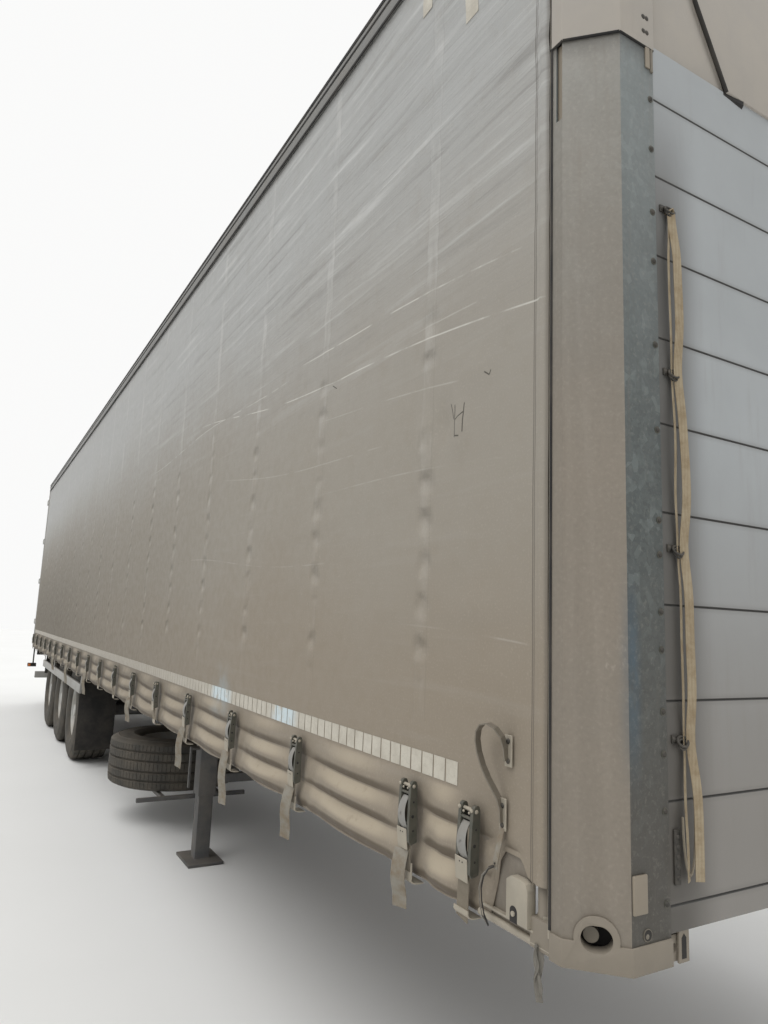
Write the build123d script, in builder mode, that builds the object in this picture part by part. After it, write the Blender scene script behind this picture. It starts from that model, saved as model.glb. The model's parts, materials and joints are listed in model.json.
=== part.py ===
from build123d import *

import os
from math import atan, cos, degrees, hypot, pi

# Curtain-sided semi trailer with three axles, parked on its landing legs.
# Millimetres. +X points to the front wall, +Y to the left, +Z up. The origin is
# on the ground under the middle of the body.

# Body
body_length = 13600
body_width = 2550
rail_top = 3960
rail_height = 110
rail_inset = 60
rail_wall = 8
rail_gap = 2
track_width = 30
track_depth = 30
track_roof = 50
floor_top = 1250
floor_thick = 28
floor_inset = 58
rave_inset = 21
rave_drop = 265
rave_wall = 6
rave_lip_width = 20
rave_lip_height = 18
rave_setback = 200
wall_thick = 28
door_thick = 40
door_gap = 9
door_clearance = 6
frame_depth = 114
running_gap = 0.3

# Frame under the floor
beam_setback = 100
beam_depth = 440
neck_depth = 82
rear_depth = 360
flange_width = 140
flange_thick = 12
web_thick = 6
neck_length = 2850
neck_taper = 600
rear_step = 6780
crossmember_depth = 100
crossmember_tip = 60
crossmember_thick = 6
crossmember_first = 300
crossmember_last = 300
neck_pitch = 660
rear_members = 13

# Coupling
king_pin_setback = 1620
coupling_thick = 10
coupling_width = 1200
coupling_reach = 930
coupling_corner = 250
king_pin_collar = 73
king_pin_neck = 50.8
king_pin_lip = 71.3
king_pin_lengths = (35, 35, 14)
channel_width = 240
channel_height = 60

# Running gear
first_axle = 8010
axle_pitch = 1310
axle_count = 3
track = 2040
tyre_diameter = 1072
tyre_width = 385
tyre_shoulder = (45, 38)
rim_diameter = 571.5
rim_width = 300
rim_lip = 22
dish_depth = 70
dish_taper = 26
hub_reach = 172
hub_diameter = 190
spare_bore = 280
wheel_sides = 36
vessel_sides = 24
tube_sides = 12
axle_size = 120
axle_clear = 10
spindle_diameter = 80
spindle_reach = 90
spring_gap = 177.5
arm_pivot = 500
arm_tail = 470
arm_width = 80
arm_thick = 56
arm_low = 570
arm_seat = 600
arm_eye = 640
arm_nose = 75
hanger_low = 560
hanger_half = (50, 110)
bag_offset = 360
bag_diameter = 280
bag_clear = 10
shock_diameter = 60
shock_gap = 35
chamber_diameter = 150
chamber_length = 180
chamber_inset = 160
tank_diameter = 246
tank_drop = 30
tank_inset = 130
tank_members = (2, 3)
tank_strap_inset = 135
tank_strap_width = 45

# Mudguards, side strips and flaps
guard_wall = 4
guard_rise = 28
guard_reach = 104
guard_low = 700
guard_knee = 880
guard_slope = 260
guard_side = 17.5
guard_lap = 7.5
strip_low = 800
strip_high = 895
strip_thick = 24
strip_front = 160
strip_back = 120
stay_width = 40
stay_thick = 8
flap_low = 200
flap_thick = 8
flap_setback = 20
flap_inset = 22.5

# Landing legs
leg_setback = 2450
leg_size = 120
leg_inner = 100
leg_split = 430
leg_gap = 20
leg_top = 1100
leg_plate = 260
foot_size = (320, 240, 20)
brace_size = 60
brace_level = 500
brace_run = (460, 520)
shaft_height = 740
shaft_diameter = 30
crank_diameter = 24
crank_reach = 50
crank_drop = 260
crank_thick = 12

# Corner posts, seen from above, with their castings and caps
post_side = 132
post_chamfer = 97
post_face = 117
post_wall = 5
cap_lap = 5
cap_height = 892
cap_overlap = 30
casting_low = 985
casting_height = 52
casting_wall = 40
boss_size = (90, 86)
eye_size = (62, 50)
eye_rise = 60
post_hole = (42, 1054, 7)
post_slot = (12, 20, 2860)
lug_width = 40
lug_thick = 15
lug_setback = 15
lug_hole = 18

# Front wall
plank_setback = 7
plank_pitch = 204.8
plank_drop = 206
plank_first = 51.8
groove = 3
header_height = 875
header_setback = 15
cover_insets = (291, 171, 61)
cover_knee = 216
sill_height = 182
sill_thick = 65
ring_first = 1426
ring_count = 4
ring_side = 36
ring_bar = (42, 16, 4)
ring_size = (30, 34)
ring_wire = 5
lashing_width = 30
lashing_thick = 2.5
lashing_ends = (1140, 2640)

# Curtain
curtain_wall = 4
curtain_front = 150
curtain_inset = 12
curtain_tuck = 40
curtain_gap = 2
curtain_low = 990
skirt_top = 1270
skirt_rolls = 3
skirt_bulge = 10
corner_cut = ((-1, 1112), (55, 1112), (65, 1148), (140, 1148), (195, 989))
pole_setback = 176
pole_diameter = 32
pole_foot = 60
pole_foot_width = 44
keeper_size = (44, 20, 88)
keeper_setback = 220
keeper_low = 1020
keeper_eye = (20, 60)

# Buckles and pull handles
buckle_width = 60
buckle_depth = 38
buckle_low = 1060
buckle_high = 1232
buckle_first = (395, 660, 1430)
buckle_pitch = 740
buckle_last = 300
strap_width = 50
strap_wall = 4
hook_drop = 15
hook_grip = 8
handle_width = 22
handle_thick = 4
handle_pad = (1335, 1405)

# Spare wheel and carrier
spare_setback = 5270
spare_side = 700
spare_low = 285
carrier_bar = 30
carrier_gap = 12
carrier_half = 420
carrier_rails = 440
carrier_hanger = 80

# Sliding posts, side laths and roof bows
post_bays = 4
sliding_width = 100
sliding_depth = 60
lath_count = 5
lath_first = 400
lath_last = 250
lath_height = 100
lath_thick = 25
lath_gap = 1
bow_count = 10
bow_width = 30
bow_height = 40
bow_inset = 150
roof_drop = 20
roof_thick = 5
roof_gap = 10

# Doors and rear end
hinge_out = 75
hinge_side = 1268
hinge_count = 4
hinge_ends = (210, 300)
hinge_radius = 12
leaf_height = 59
leaf_reach = 150
leaf_edge = 6
leaf_bend = 30
leaf_thick = 8
leaf_gap = 0.5
ear_height = 15
ear_thick = 8
ear_reach = 54
door_low = 1240
door_top_gap = 10
door_side_gap = 6
lock_rod_diameter = 28
lock_rod_offsets = (120, 920)
lock_rod_end = 5
guide_count = 5
guide_end = 60
guide_size = (10, 70, 40)
handle_rises = (260, 380)
handle_lengths = (420, 320)
handle_bar = (8, 40)
jamb_width = 100
header_depth = 80
bar_low = 450
bar_size = (80, 110)
bar_inset = 95
bar_arm = 60
lamp_size = (400, 130, 60)
lamp_gap = 100
stalk_setback = 120
stalk_high = 720
stalk_width = 50
stalk_head = (80, 60)
stalk_in = 60
stalk_out = 76

x_front = body_length / 2
x_rear = -body_length / 2
y_side = body_width / 2
rail_low = rail_top - rail_height
roof_half = y_side - rail_inset
floor_low = floor_top - floor_thick
frame_back = x_rear + door_thick + door_clearance
frame_front = frame_back + frame_depth
plank_face = x_front - plank_setback
wall_back = plank_face - wall_thick
plank_half = y_side - post_chamfer - post_face
plank_low = floor_top - plank_drop
header_low = rail_top - header_height
cap_low = rail_top - cap_height
casting_top = casting_low + casting_height
tyre_radius = tyre_diameter / 2
rim_radius = rim_diameter / 2
tyre_in = track / 2 - tyre_width / 2
tyre_out = track / 2 + tyre_width / 2
beam_y = tyre_in - spring_gap
inner_edge = beam_y - flange_width / 2
flange_edge = beam_y + flange_width / 2
beam_low = floor_low - beam_depth
rear_beam_low = floor_low - rear_depth
axle_places = [x_front - first_axle - axle_pitch * i for i in range(axle_count)]
king_pin_x = x_front - king_pin_setback
leg_x = king_pin_x - leg_setback
leg_in = flange_edge + leg_gap
leg_y = leg_in + leg_size / 2
hinge_x = x_rear - hinge_out
rave_out = y_side - rave_inset
rave_low = floor_top - rave_drop
rave_front = x_front - rave_setback
floor_half = rave_out - floor_inset
pole_x = x_front - pole_setback
curtain_out = y_side - curtain_inset
curtain_x = x_front - curtain_front
buckle_back = curtain_out + skirt_bulge + running_gap
door_high = rail_top - door_top_gap
sides = (1, -1)
side_names = {1: "left", -1: "right"}

os.makedirs("parts", exist_ok=True)


def at_x(x):
    """Plane across the trailer: its own x is the trailer's +Y, its y is up."""
    return Plane.YZ.offset(x)


def at_y(y):
    """Plane along the trailer: its own x is the trailer's +X, its y is up."""
    return Plane.XZ.offset(-y)


def at_z(z):
    """Level plane at a height."""
    return Plane.XY.offset(z)


def block(x, y, z, mode=Mode.ADD):
    """Add or cut a box between two limits on each axis."""
    with Locations(((x[0] + x[1]) / 2, (y[0] + y[1]) / 2, (z[0] + z[1]) / 2)):
        Box(abs(x[1] - x[0]), abs(y[1] - y[0]), abs(z[1] - z[0]), mode=mode)


def spread(first, last, count):
    """Places at one pitch from a first to a last."""
    return [first + (last - first) * i / (count - 1) for i in range(count)]


def beside(line, gap):
    """A bent line moved to its left by a gap, with its corners mitred."""
    normals = []
    for (x0, y0), (x1, y1) in zip(line, line[1:]):
        run = hypot(x1 - x0, y1 - y0)
        normals.append(((y0 - y1) / run, (x1 - x0) / run))
    moved = []
    for i, (x, y) in enumerate(line):
        before = normals[max(i - 1, 0)]
        after = normals[min(i, len(normals) - 1)]
        mitre = gap / (1 + before[0] * after[0] + before[1] * after[1])
        moved.append((x + (before[0] + after[0]) * mitre, y + (before[1] + after[1]) * mitre))
    return moved


def band(line, wall):
    """Outline of a strip of even wall on the left of a bent line."""
    return list(line) + beside(line, wall)[::-1]


def save(builder, name):
    """Label a finished piece and write it as one STEP file."""
    builder.part.label = name
    export_step(builder.part, f"parts/{name}.step")


# Main beams: I-sections with a shallow neck at the front
beam_front = x_front - beam_setback
neck_end = x_front - neck_length
step_end = x_front - rear_step
beam_top_line = [(beam_front, floor_low), (frame_front, floor_low)]
beam_low_line = [
    (frame_front, rear_beam_low),
    (step_end - neck_taper, rear_beam_low),
    (step_end, beam_low),
    (neck_end - neck_taper, beam_low),
    (neck_end, floor_low - neck_depth),
    (beam_front, floor_low - neck_depth),
]
with BuildPart() as main_beams:
    with BuildSketch(at_y(beam_y)):
        Polygon(*(beam_top_line[::-1] + beam_low_line[::-1]), align=None)
    extrude(amount=web_thick / 2, both=True)
    with BuildSketch(at_y(beam_y)):
        Polygon(*band(beam_low_line, flange_thick), align=None)
        Polygon(*band(beam_top_line, flange_thick), align=None)
    extrude(amount=flange_width / 2, both=True)
    mirror(about=Plane.XZ)
save(main_beams, "main_beams")

# Crossmembers: a deep plate between the beams and a tapered one out to each rave.
# The neck's stand on both sides of the king pin, the others at one pitch behind the neck.
neck_members = [x_front - crossmember_first]
neck_members += [king_pin_x + neck_pitch * (step + 0.5) for step in (1, 0, -1, -2)]
body_members = spread(neck_end - neck_taper, frame_front + crossmember_last, rear_members)
with BuildPart() as crossmembers:
    for x in neck_members + body_members:
        depth = neck_depth if x in neck_members else crossmember_depth
        with BuildSketch(at_x(x)):
            Polygon(
                (-inner_edge, floor_low - depth),
                (inner_edge, floor_low - depth),
                (inner_edge, floor_low),
                (-inner_edge, floor_low),
                align=None,
            )
            for side in sides:
                Polygon(
                    (side * flange_edge, floor_low),
                    (side * flange_edge, floor_low - depth),
                    (side * (rave_out - rave_wall), floor_low - crossmember_tip),
                    (side * (rave_out - rave_wall), floor_low),
                    align=None,
                )
        extrude(amount=crossmember_thick / 2, both=True)
save(crossmembers, "crossmembers")

# Side raves: folded edge rails that carry the buckles' hooks
lip_high = rave_low + rave_lip_height
with BuildPart() as side_raves:
    with BuildSketch(at_x(frame_front)):
        Polygon(
            (rave_out, rave_low),
            (rave_out, floor_top),
            (floor_half, floor_top),
            (floor_half, floor_top - rave_wall),
            (rave_out - rave_wall, floor_top - rave_wall),
            (rave_out - rave_wall, lip_high),
            (rave_out - rave_lip_width, lip_high),
            (rave_out - rave_lip_width, rave_low),
            align=None,
        )
    extrude(amount=rave_front - frame_front)
    mirror(about=Plane.XZ)
save(side_raves, "side_raves")

# Floor boards in one deck
with BuildPart() as floor:
    block((frame_front, wall_back), (-floor_half, floor_half), (floor_low, floor_top))
save(floor, "floor")

# Coupling plate with a hole round the king pin
plate_top = floor_low - neck_depth
plate_low = plate_top - coupling_thick
with BuildPart() as coupling_plate:
    with BuildSketch(at_z(plate_low)):
        with Locations((king_pin_x, 0)):
            Rectangle(2 * coupling_reach, coupling_width)
            chamfer(vertices().group_by(Axis.X)[-1], coupling_corner)
            Circle(king_pin_collar / 2 + running_gap, mode=Mode.SUBTRACT)
    extrude(amount=coupling_thick)
save(coupling_plate, "coupling_plate")

# King pin: collar, neck and lip, hung from a cross channel over the plate
pin_steps = [plate_low]
for length in king_pin_lengths:
    pin_steps.append(pin_steps[-1] - length)
with BuildPart() as king_pin:
    for low, high, diameter in (
        (pin_steps[1], plate_top, king_pin_collar),
        (pin_steps[2], pin_steps[1], king_pin_neck),
        (pin_steps[3], pin_steps[2], king_pin_lip),
    ):
        with BuildSketch(at_z(low)):
            with Locations((king_pin_x, 0)):
                Circle(diameter / 2)
        extrude(amount=high - low)
    block(
        (king_pin_x - channel_width / 2, king_pin_x + channel_width / 2),
        (-inner_edge, inner_edge),
        (plate_top, plate_top + channel_height),
    )
save(king_pin, "king_pin")

# Front wall: planks with a groove at each joint, behind the posts' return edges
with BuildPart() as front_wall:
    with BuildSketch(at_y(-plank_half)):
        Polygon(
            (wall_back, plank_low),
            (plank_face, plank_low),
            (plank_face, header_low),
            (wall_back, header_low),
            align=None,
        )
        level = plank_low + plank_first
        while level < header_low - groove:
            Polygon(
                (plank_face, level - groove),
                (plank_face - groove, level),
                (plank_face, level + groove),
                align=None,
                mode=Mode.SUBTRACT,
            )
            level += plank_pitch
    extrude(amount=-2 * plank_half)
save(front_wall, "front_wall")

# Front corner posts: folded sheet with a chamfered corner, inside the castings' and
# caps' line, with a slot in the side, a hole in the front and an eye over the casting's
corner_line = [
    (x_front - post_side, y_side),
    (x_front - post_chamfer, y_side),
    (x_front, y_side - post_chamfer),
    (x_front, plank_half),
]
post_line = beside(corner_line, -cap_lap) + [(wall_back, plank_half)]
chamfer_plane = Plane(
    origin=(x_front - post_chamfer / 2, y_side - post_chamfer / 2, casting_low + eye_rise),
    x_dir=(-1, 1, 0),
    z_dir=(1, 1, 0),
)
slot_x = x_front - post_side + post_slot[0]
with BuildPart() as front_corner_posts:
    with BuildSketch(at_z(casting_top)):
        Polygon(*band(post_line, -post_wall), align=None)
    extrude(amount=cap_low + cap_overlap - casting_top)
    with BuildSketch(chamfer_plane):
        SlotOverall(*eye_size)
    extrude(amount=-casting_wall, mode=Mode.SUBTRACT)
    with BuildSketch(at_x(x_front)):
        with Locations((y_side - post_chamfer - post_hole[0], post_hole[1])):
            Circle(post_hole[2])
    extrude(amount=-casting_wall, mode=Mode.SUBTRACT)
    block(
        (slot_x, slot_x + post_slot[1]),
        (y_side - cap_lap - 2 * post_wall, y_side),
        (post_slot[2], cap_low + cap_overlap),
        mode=Mode.SUBTRACT,
    )
    mirror(about=Plane.XZ)
save(front_corner_posts, "front_corner_posts")

# Corner castings at the posts' feet: a thick band with a boss round the lifting eye
# and a drilled lug beside the boards
lug_x = x_front - lug_setback
with BuildPart() as corner_castings:
    with BuildSketch(at_z(casting_low)):
        Polygon(*band(corner_line, -casting_wall), align=None)
    extrude(amount=casting_height)
    with BuildSketch(chamfer_plane):
        SlotOverall(*boss_size)
    extrude(amount=-cap_lap)
    with BuildSketch(chamfer_plane):
        SlotOverall(*eye_size)
    extrude(amount=-2 * casting_wall, mode=Mode.SUBTRACT)
    block((lug_x - lug_thick, lug_x), (plank_half - lug_width, plank_half), (casting_low, casting_top))
    with BuildSketch(at_x(lug_x)):
        with Locations((plank_half - lug_width / 2, casting_low + casting_height / 2)):
            Circle(lug_hole / 2)
    extrude(amount=-lug_thick, mode=Mode.SUBTRACT)
    mirror(about=Plane.XZ)
save(corner_castings, "corner_castings")

# Front caps: upper cowls that lap over the posts, closed on top
with BuildPart() as front_caps:
    with BuildSketch(at_z(cap_low)):
        Polygon(*band(corner_line, -cap_lap), align=None)
    extrude(amount=rail_top - cap_low)
    with BuildSketch(at_z(rail_top - post_wall)):
        Polygon(*(corner_line + [(x_front - post_side, plank_half)]), align=None)
    extrude(amount=post_wall)
    mirror(about=Plane.XZ)
save(front_caps, "front_caps")

# Front header above the planks, with a raised cover that widens upwards
header_face = x_front - header_setback
cover_levels = (header_low, header_low + cover_knee, rail_top)
cover_edge = [(plank_half - inset, level) for inset, level in zip(cover_insets, cover_levels)]
with BuildPart() as front_header:
    block((wall_back, header_face), (-plank_half, plank_half), (header_low, rail_top))
    with BuildSketch(at_x(header_face)):
        Polygon(*(cover_edge + [(-y, z) for y, z in cover_edge[::-1]]), align=None)
    extrude(amount=header_setback)
save(front_header, "front_header")

with BuildPart() as front_sill:
    block(
        (wall_back - sill_thick, wall_back),
        (-plank_half, plank_half),
        (floor_low - sill_height, floor_low),
    )
save(front_sill, "front_sill")

# Rope rings on the boards beside the right post: a bar and a square link at each
bar_y = -plank_half + ring_side
ring_levels = [ring_first + 2 * plank_pitch * i for i in range(ring_count)]
with BuildPart() as lashing_rings:
    for level in ring_levels:
        bar_under = level - ring_bar[1] / 2
        block(
            (plank_face, plank_face + ring_bar[2]),
            (bar_y - ring_bar[0] / 2, bar_y + ring_bar[0] / 2),
            (bar_under, level + ring_bar[1] / 2),
        )
        with BuildSketch(at_x(plank_face)):
            with Locations((bar_y, bar_under - ring_size[1] / 2)):
                Rectangle(*ring_size)
                Rectangle(
                    ring_size[0] - 2 * ring_wire, ring_size[1] - 2 * ring_wire, mode=Mode.SUBTRACT
                )
        extrude(amount=ring_bar[2])
save(lashing_rings, "lashing_rings")

# Roof side rails with the track slot that the curtain's rollers run in
rail_front = x_front - post_side - rail_gap
with BuildPart() as roof_rails:
    with BuildSketch(at_x(frame_front)):
        Polygon(
            (y_side, rail_low),
            (y_side, rail_top),
            (roof_half, rail_top),
            (roof_half, rail_low + track_depth),
            (roof_half + track_width, rail_low + track_depth),
            (roof_half + track_width, rail_low + track_roof),
            (y_side - rail_wall, rail_low + track_roof),
            (y_side - rail_wall, rail_low),
            align=None,
        )
    extrude(amount=rail_front - frame_front)
    mirror(about=Plane.XZ)
save(roof_rails, "roof_rails")

# Roof bows and sheet
bow_high = rail_top - roof_drop
bow_low = bow_high - bow_height
with BuildPart() as roof_bows:
    for x in spread(frame_front + bow_inset, wall_back - bow_inset, bow_count):
        block((x - bow_width / 2, x + bow_width / 2), (-roof_half, roof_half), (bow_low, bow_high))
save(roof_bows, "roof_bows")

with BuildPart() as roof_sheet:
    block((frame_front, wall_back - roof_gap), (-roof_half, roof_half), (bow_high, bow_high + roof_thick))
save(roof_sheet, "roof_sheet")

# Curtains: a flat hanging sheet that ends in a rolling skirt, cut away at the front corner
curtain_high = rail_low + curtain_tuck
skirt_steps = spread(skirt_top, curtain_low, skirt_rolls + 1)
curtain_back = frame_front + curtain_gap
for side in sides:
    with BuildPart() as curtain:
        with BuildSketch(at_x(curtain_back)):
            with BuildLine():
                for y in (side * curtain_out, side * (curtain_out - curtain_wall)):
                    Line((y, curtain_high), (y, skirt_top))
                    for high, low in zip(skirt_steps, skirt_steps[1:]):
                        ThreePointArc((y, high), (y + side * skirt_bulge, (high + low) / 2), (y, low))
                for z in (curtain_high, curtain_low):
                    Line((side * curtain_out, z), (side * (curtain_out - curtain_wall), z))
            make_face()
        extrude(amount=curtain_x - curtain_back)
        with BuildSketch(at_y(side * curtain_out)):
            Polygon(
                *[(curtain_x - behind, z) for behind, z in corner_cut],
                (curtain_x - corner_cut[0][0], corner_cut[-1][1]),
                align=None,
            )
        extrude(amount=2 * skirt_bulge, both=True, mode=Mode.SUBTRACT)
    save(curtain, f"curtain_{side_names[side]}")

# Sliding posts between floor and roof rail, and the laths that they carry
post_places = spread(rail_front, frame_front, post_bays + 1)[1:-1]
with BuildPart() as sliding_posts:
    for x in post_places:
        for side in sides:
            block(
                (x - sliding_width / 2, x + sliding_width / 2),
                (side * (roof_half - sliding_depth), side * roof_half),
                (floor_top, bow_low),
            )
save(sliding_posts, "sliding_posts")

lath_y = roof_half + running_gap
with BuildPart() as side_laths:
    stops = (pole_x - pole_diameter / 2, *post_places, frame_front)
    for x_high, x_low in zip(stops, stops[1:]):
        for z in spread(floor_top + lath_first, rail_low - lath_last, lath_count):
            for side in sides:
                block(
                    (x_low + lath_gap, x_high - lath_gap),
                    (side * lath_y, side * (lath_y + lath_thick)),
                    (z - lath_height / 2, z + lath_height / 2),
                )
save(side_laths, "side_laths")

# Rear frame: posts, header and sill in one welded ring
opening_half = y_side - jamb_width
with BuildPart() as rear_frame:
    with BuildSketch(at_x(frame_back)):
        Polygon(
            (-hinge_side, rave_low),
            (hinge_side, rave_low),
            (hinge_side, rail_top),
            (-hinge_side, rail_top),
            align=None,
        )
        Polygon(
            (-opening_half, floor_top),
            (opening_half, floor_top),
            (opening_half, rail_top - header_depth),
            (-opening_half, rail_top - header_depth),
            align=None,
            mode=Mode.SUBTRACT,
        )
    extrude(amount=frame_depth)
save(rear_frame, "rear_frame")

# Rear doors with their hinge leaves, each with two lock rods, guides and handles
door_out = hinge_side - door_side_gap
hinge_levels = spread(door_low + hinge_ends[0], door_high - hinge_ends[1], hinge_count)
rod_x = x_rear - guide_size[0] - running_gap - lock_rod_diameter / 2
handle_x = rod_x - lock_rod_diameter / 2 - running_gap
for side in sides:
    with BuildPart() as door:
        block((x_rear, x_rear + door_thick), (side * door_gap, side * door_out), (door_low, door_high))
        for z in hinge_levels:
            with BuildSketch(at_z(z - leaf_height / 2)):
                Polygon(
                    (hinge_x - hinge_radius, side * hinge_side),
                    (hinge_x + hinge_radius, side * hinge_side),
                    (x_rear, side * (door_out - leaf_edge)),
                    (x_rear, side * (door_out - leaf_reach)),
                    (x_rear - leaf_thick, side * (door_out - leaf_reach)),
                    (x_rear - leaf_thick, side * (door_out - leaf_bend)),
                    align=None,
                )
                with Locations((hinge_x, side * hinge_side)):
                    Circle(hinge_radius)
            extrude(amount=leaf_height)
    save(door, f"door_{side_names[side]}")

    with BuildPart() as lock_rods:
        for offset, rise, reach in zip(lock_rod_offsets, handle_rises, handle_lengths):
            rod_y = side * (hinge_side - offset)
            with BuildSketch(at_z(door_low + lock_rod_end)):
                with Locations((rod_x, rod_y)):
                    RegularPolygon(lock_rod_diameter / 2, tube_sides)
            extrude(amount=door_high - door_low - 2 * lock_rod_end)
            for z in spread(door_low + guide_end, door_high - guide_end, guide_count):
                block(
                    (x_rear - guide_size[0], x_rear),
                    (rod_y - guide_size[1] / 2, rod_y + guide_size[1] / 2),
                    (z - guide_size[2] / 2, z + guide_size[2] / 2),
                )
            block(
                (handle_x - handle_bar[0], handle_x),
                (rod_y, rod_y - side * reach),
                (door_low + rise, door_low + rise + handle_bar[1]),
            )
    save(lock_rods, f"lock_rods_{side_names[side]}")

# Hinge ears on the rear posts, above and below each door's leaf
ear_x = frame_back + ear_reach
with BuildPart() as hinge_ears:
    for z in hinge_levels:
        for edge in (z - leaf_height / 2 - leaf_gap - ear_height, z + leaf_height / 2 + leaf_gap):
            with BuildSketch(at_z(edge)):
                Polygon(
                    (ear_x, hinge_side),
                    (ear_x, hinge_side + ear_thick),
                    (hinge_x - hinge_radius, hinge_side + ear_thick),
                    (hinge_x - hinge_radius, hinge_side - hinge_radius),
                    (hinge_x + hinge_radius, hinge_side - hinge_radius),
                    (hinge_x + hinge_radius, hinge_side),
                    align=None,
                )
            extrude(amount=ear_height)
    mirror(about=Plane.XZ)
save(hinge_ears, "hinge_ears")

# Underrun bar on two arms from the sill, inside the tail lamps
bar_high = bar_low + bar_size[1]
bar_half = y_side - bar_inset
arm_setback = (bar_size[0] - bar_arm) / 2
arm_out = bar_half - lamp_size[0] - lamp_gap
with BuildPart() as underrun_bar:
    block((frame_back, frame_back + bar_size[0]), (-bar_half, bar_half), (bar_low, bar_high))
    for side in sides:
        block(
            (frame_back + arm_setback, frame_back + bar_size[0] - arm_setback),
            (side * (arm_out - bar_arm), side * arm_out),
            (bar_high, rave_low),
        )
save(underrun_bar, "underrun_bar")

# Tail lamps under the sill
with BuildPart() as tail_lamps:
    for side in sides:
        block(
            (frame_back, frame_back + lamp_size[2]),
            (side * (bar_half - lamp_size[0]), side * bar_half),
            (rave_low - lamp_size[1], rave_low),
        )
save(tail_lamps, "tail_lamps")

# Rubber stalk lamps that stand out below the rear corners
stalk_x = frame_front + stalk_setback
with BuildPart() as marker_lamps:
    for side in sides:
        block(
            (stalk_x - stalk_width / 2, stalk_x + stalk_width / 2),
            (side * (rave_out - rave_lip_width), side * rave_out),
            (stalk_high, rave_low),
        )
        block(
            (stalk_x - stalk_head[0] / 2, stalk_x + stalk_head[0] / 2),
            (side * (rave_out - stalk_in), side * (rave_out + stalk_out)),
            (stalk_high - stalk_head[1], stalk_high),
        )
save(marker_lamps, "marker_lamps")

# Curtain buckles at one pitch down each side, their side view in shares of depth and height
buckle_outline = ((0, 0), (0.6, 0), (0.95, 0.1), (1, 0.35), (0.85, 0.75), (0.6, 0.96), (0.2, 1), (0, 0.95))
buckle_places = [x_front - d for d in buckle_first]
while buckle_places[-1] - buckle_pitch > x_rear + buckle_last:
    buckle_places.append(buckle_places[-1] - buckle_pitch)
with BuildPart() as buckles:
    for x in buckle_places:
        for side in sides:
            with BuildSketch(at_x(x - buckle_width / 2)):
                Polygon(
                    *[
                        (
                            side * (buckle_back + out * buckle_depth),
                            buckle_low + up * (buckle_high - buckle_low),
                        )
                        for out, up in buckle_outline
                    ],
                    align=None,
                )
            extrude(amount=buckle_width)
save(buckles, "buckles")

# Buckle straps with a hook under the rave, and the lashing strap stowed on the rope rings
hook_low = rave_low - hook_drop
lashing_x = plank_face + ring_bar[2] + running_gap
with BuildPart() as buckle_straps:
    for x in buckle_places:
        with BuildSketch(at_x(x - strap_width / 2)):
            for side in sides:
                Polygon(
                    (side * (buckle_back + strap_wall), buckle_low),
                    (side * buckle_back, buckle_low),
                    (side * buckle_back, rave_low - running_gap),
                    (side * (rave_out - hook_grip), rave_low - running_gap),
                    (side * (rave_out - hook_grip), hook_low),
                    (side * (buckle_back + strap_wall), hook_low),
                    align=None,
                )
        extrude(amount=strap_width)
    block(
        (lashing_x, lashing_x + lashing_thick),
        (bar_y - lashing_width / 2, bar_y + lashing_width / 2),
        lashing_ends,
    )
save(buckle_straps, "buckle_straps")

# Pull handles: a bent strip near each curtain's front edge, on a pad against the cloth.
# The strip's rear edge is given as (distance behind the front, height).
handle_line = (
    (268, 1335),
    (268, 1390),
    (282, 1418),
    (305, 1428),
    (328, 1418),
    (341, 1390),
    (338, 1345),
    (312, 1285),
    (298, 1240),
    (297, 1196),
)
with BuildPart() as pull_handles:
    for side in sides:
        with BuildSketch(at_y(side * buckle_back)):
            Polygon(*band([(x_front - behind, z) for behind, z in handle_line], handle_width), align=None)
        extrude(amount=-side * handle_thick)
        pad_x = x_front - handle_line[0][0]
        block((pad_x - handle_width, pad_x), (side * curtain_out, side * buckle_back), handle_pad)
save(pull_handles, "pull_handles")

# Tension poles in the curtains' front hems, with a foot on each and an arched keeper
# on the rave's front end
pole_y = curtain_out - curtain_wall - running_gap - pole_diameter / 2
keeper_x = x_front - keeper_setback
with BuildPart() as tension_poles:
    for side in sides:
        with BuildSketch(at_z(rave_low + pole_foot)):
            with Locations((pole_x, side * pole_y)):
                RegularPolygon(pole_diameter / 2, tube_sides)
        extrude(amount=rail_low + track_depth - rave_low - pole_foot)
        block(
            (rave_front + running_gap, x_front - post_side),
            (side * (pole_y - pole_foot_width / 2), side * (pole_y + pole_foot_width / 2)),
            (rave_low, rave_low + pole_foot),
        )
        with BuildSketch(at_y(side * rave_out)):
            with Locations((keeper_x, keeper_low + keeper_size[2] / 2)):
                Rectangle(keeper_size[0], keeper_size[2])
                chamfer(vertices().group_by(Axis.Y)[-1], keeper_size[0] / 4)
                SlotOverall(keeper_eye[1], keeper_eye[0], rotation=90, mode=Mode.SUBTRACT)
        extrude(amount=-side * keeper_size[1])
save(tension_poles, "tension_poles")

# Landing legs: outer and inner tubes on a plate at each beam, with a sled foot
with BuildPart() as landing_legs:
    for side in sides:
        for size, low, high in ((leg_size, leg_split, leg_top), (leg_inner, foot_size[2], leg_split)):
            block(
                (leg_x - size / 2, leg_x + size / 2),
                (side * (leg_y - size / 2), side * (leg_y + size / 2)),
                (low, high),
            )
        block(
            (leg_x - foot_size[0] / 2, leg_x + foot_size[0] / 2),
            (side * (leg_y - foot_size[1] / 2), side * (leg_y + foot_size[1] / 2)),
            (0, foot_size[2]),
        )
        block(
            (leg_x - leg_plate / 2, leg_x + leg_plate / 2),
            (side * flange_edge, side * leg_in),
            (beam_low, floor_low - crossmember_depth),
        )
save(landing_legs, "landing_legs")

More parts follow.
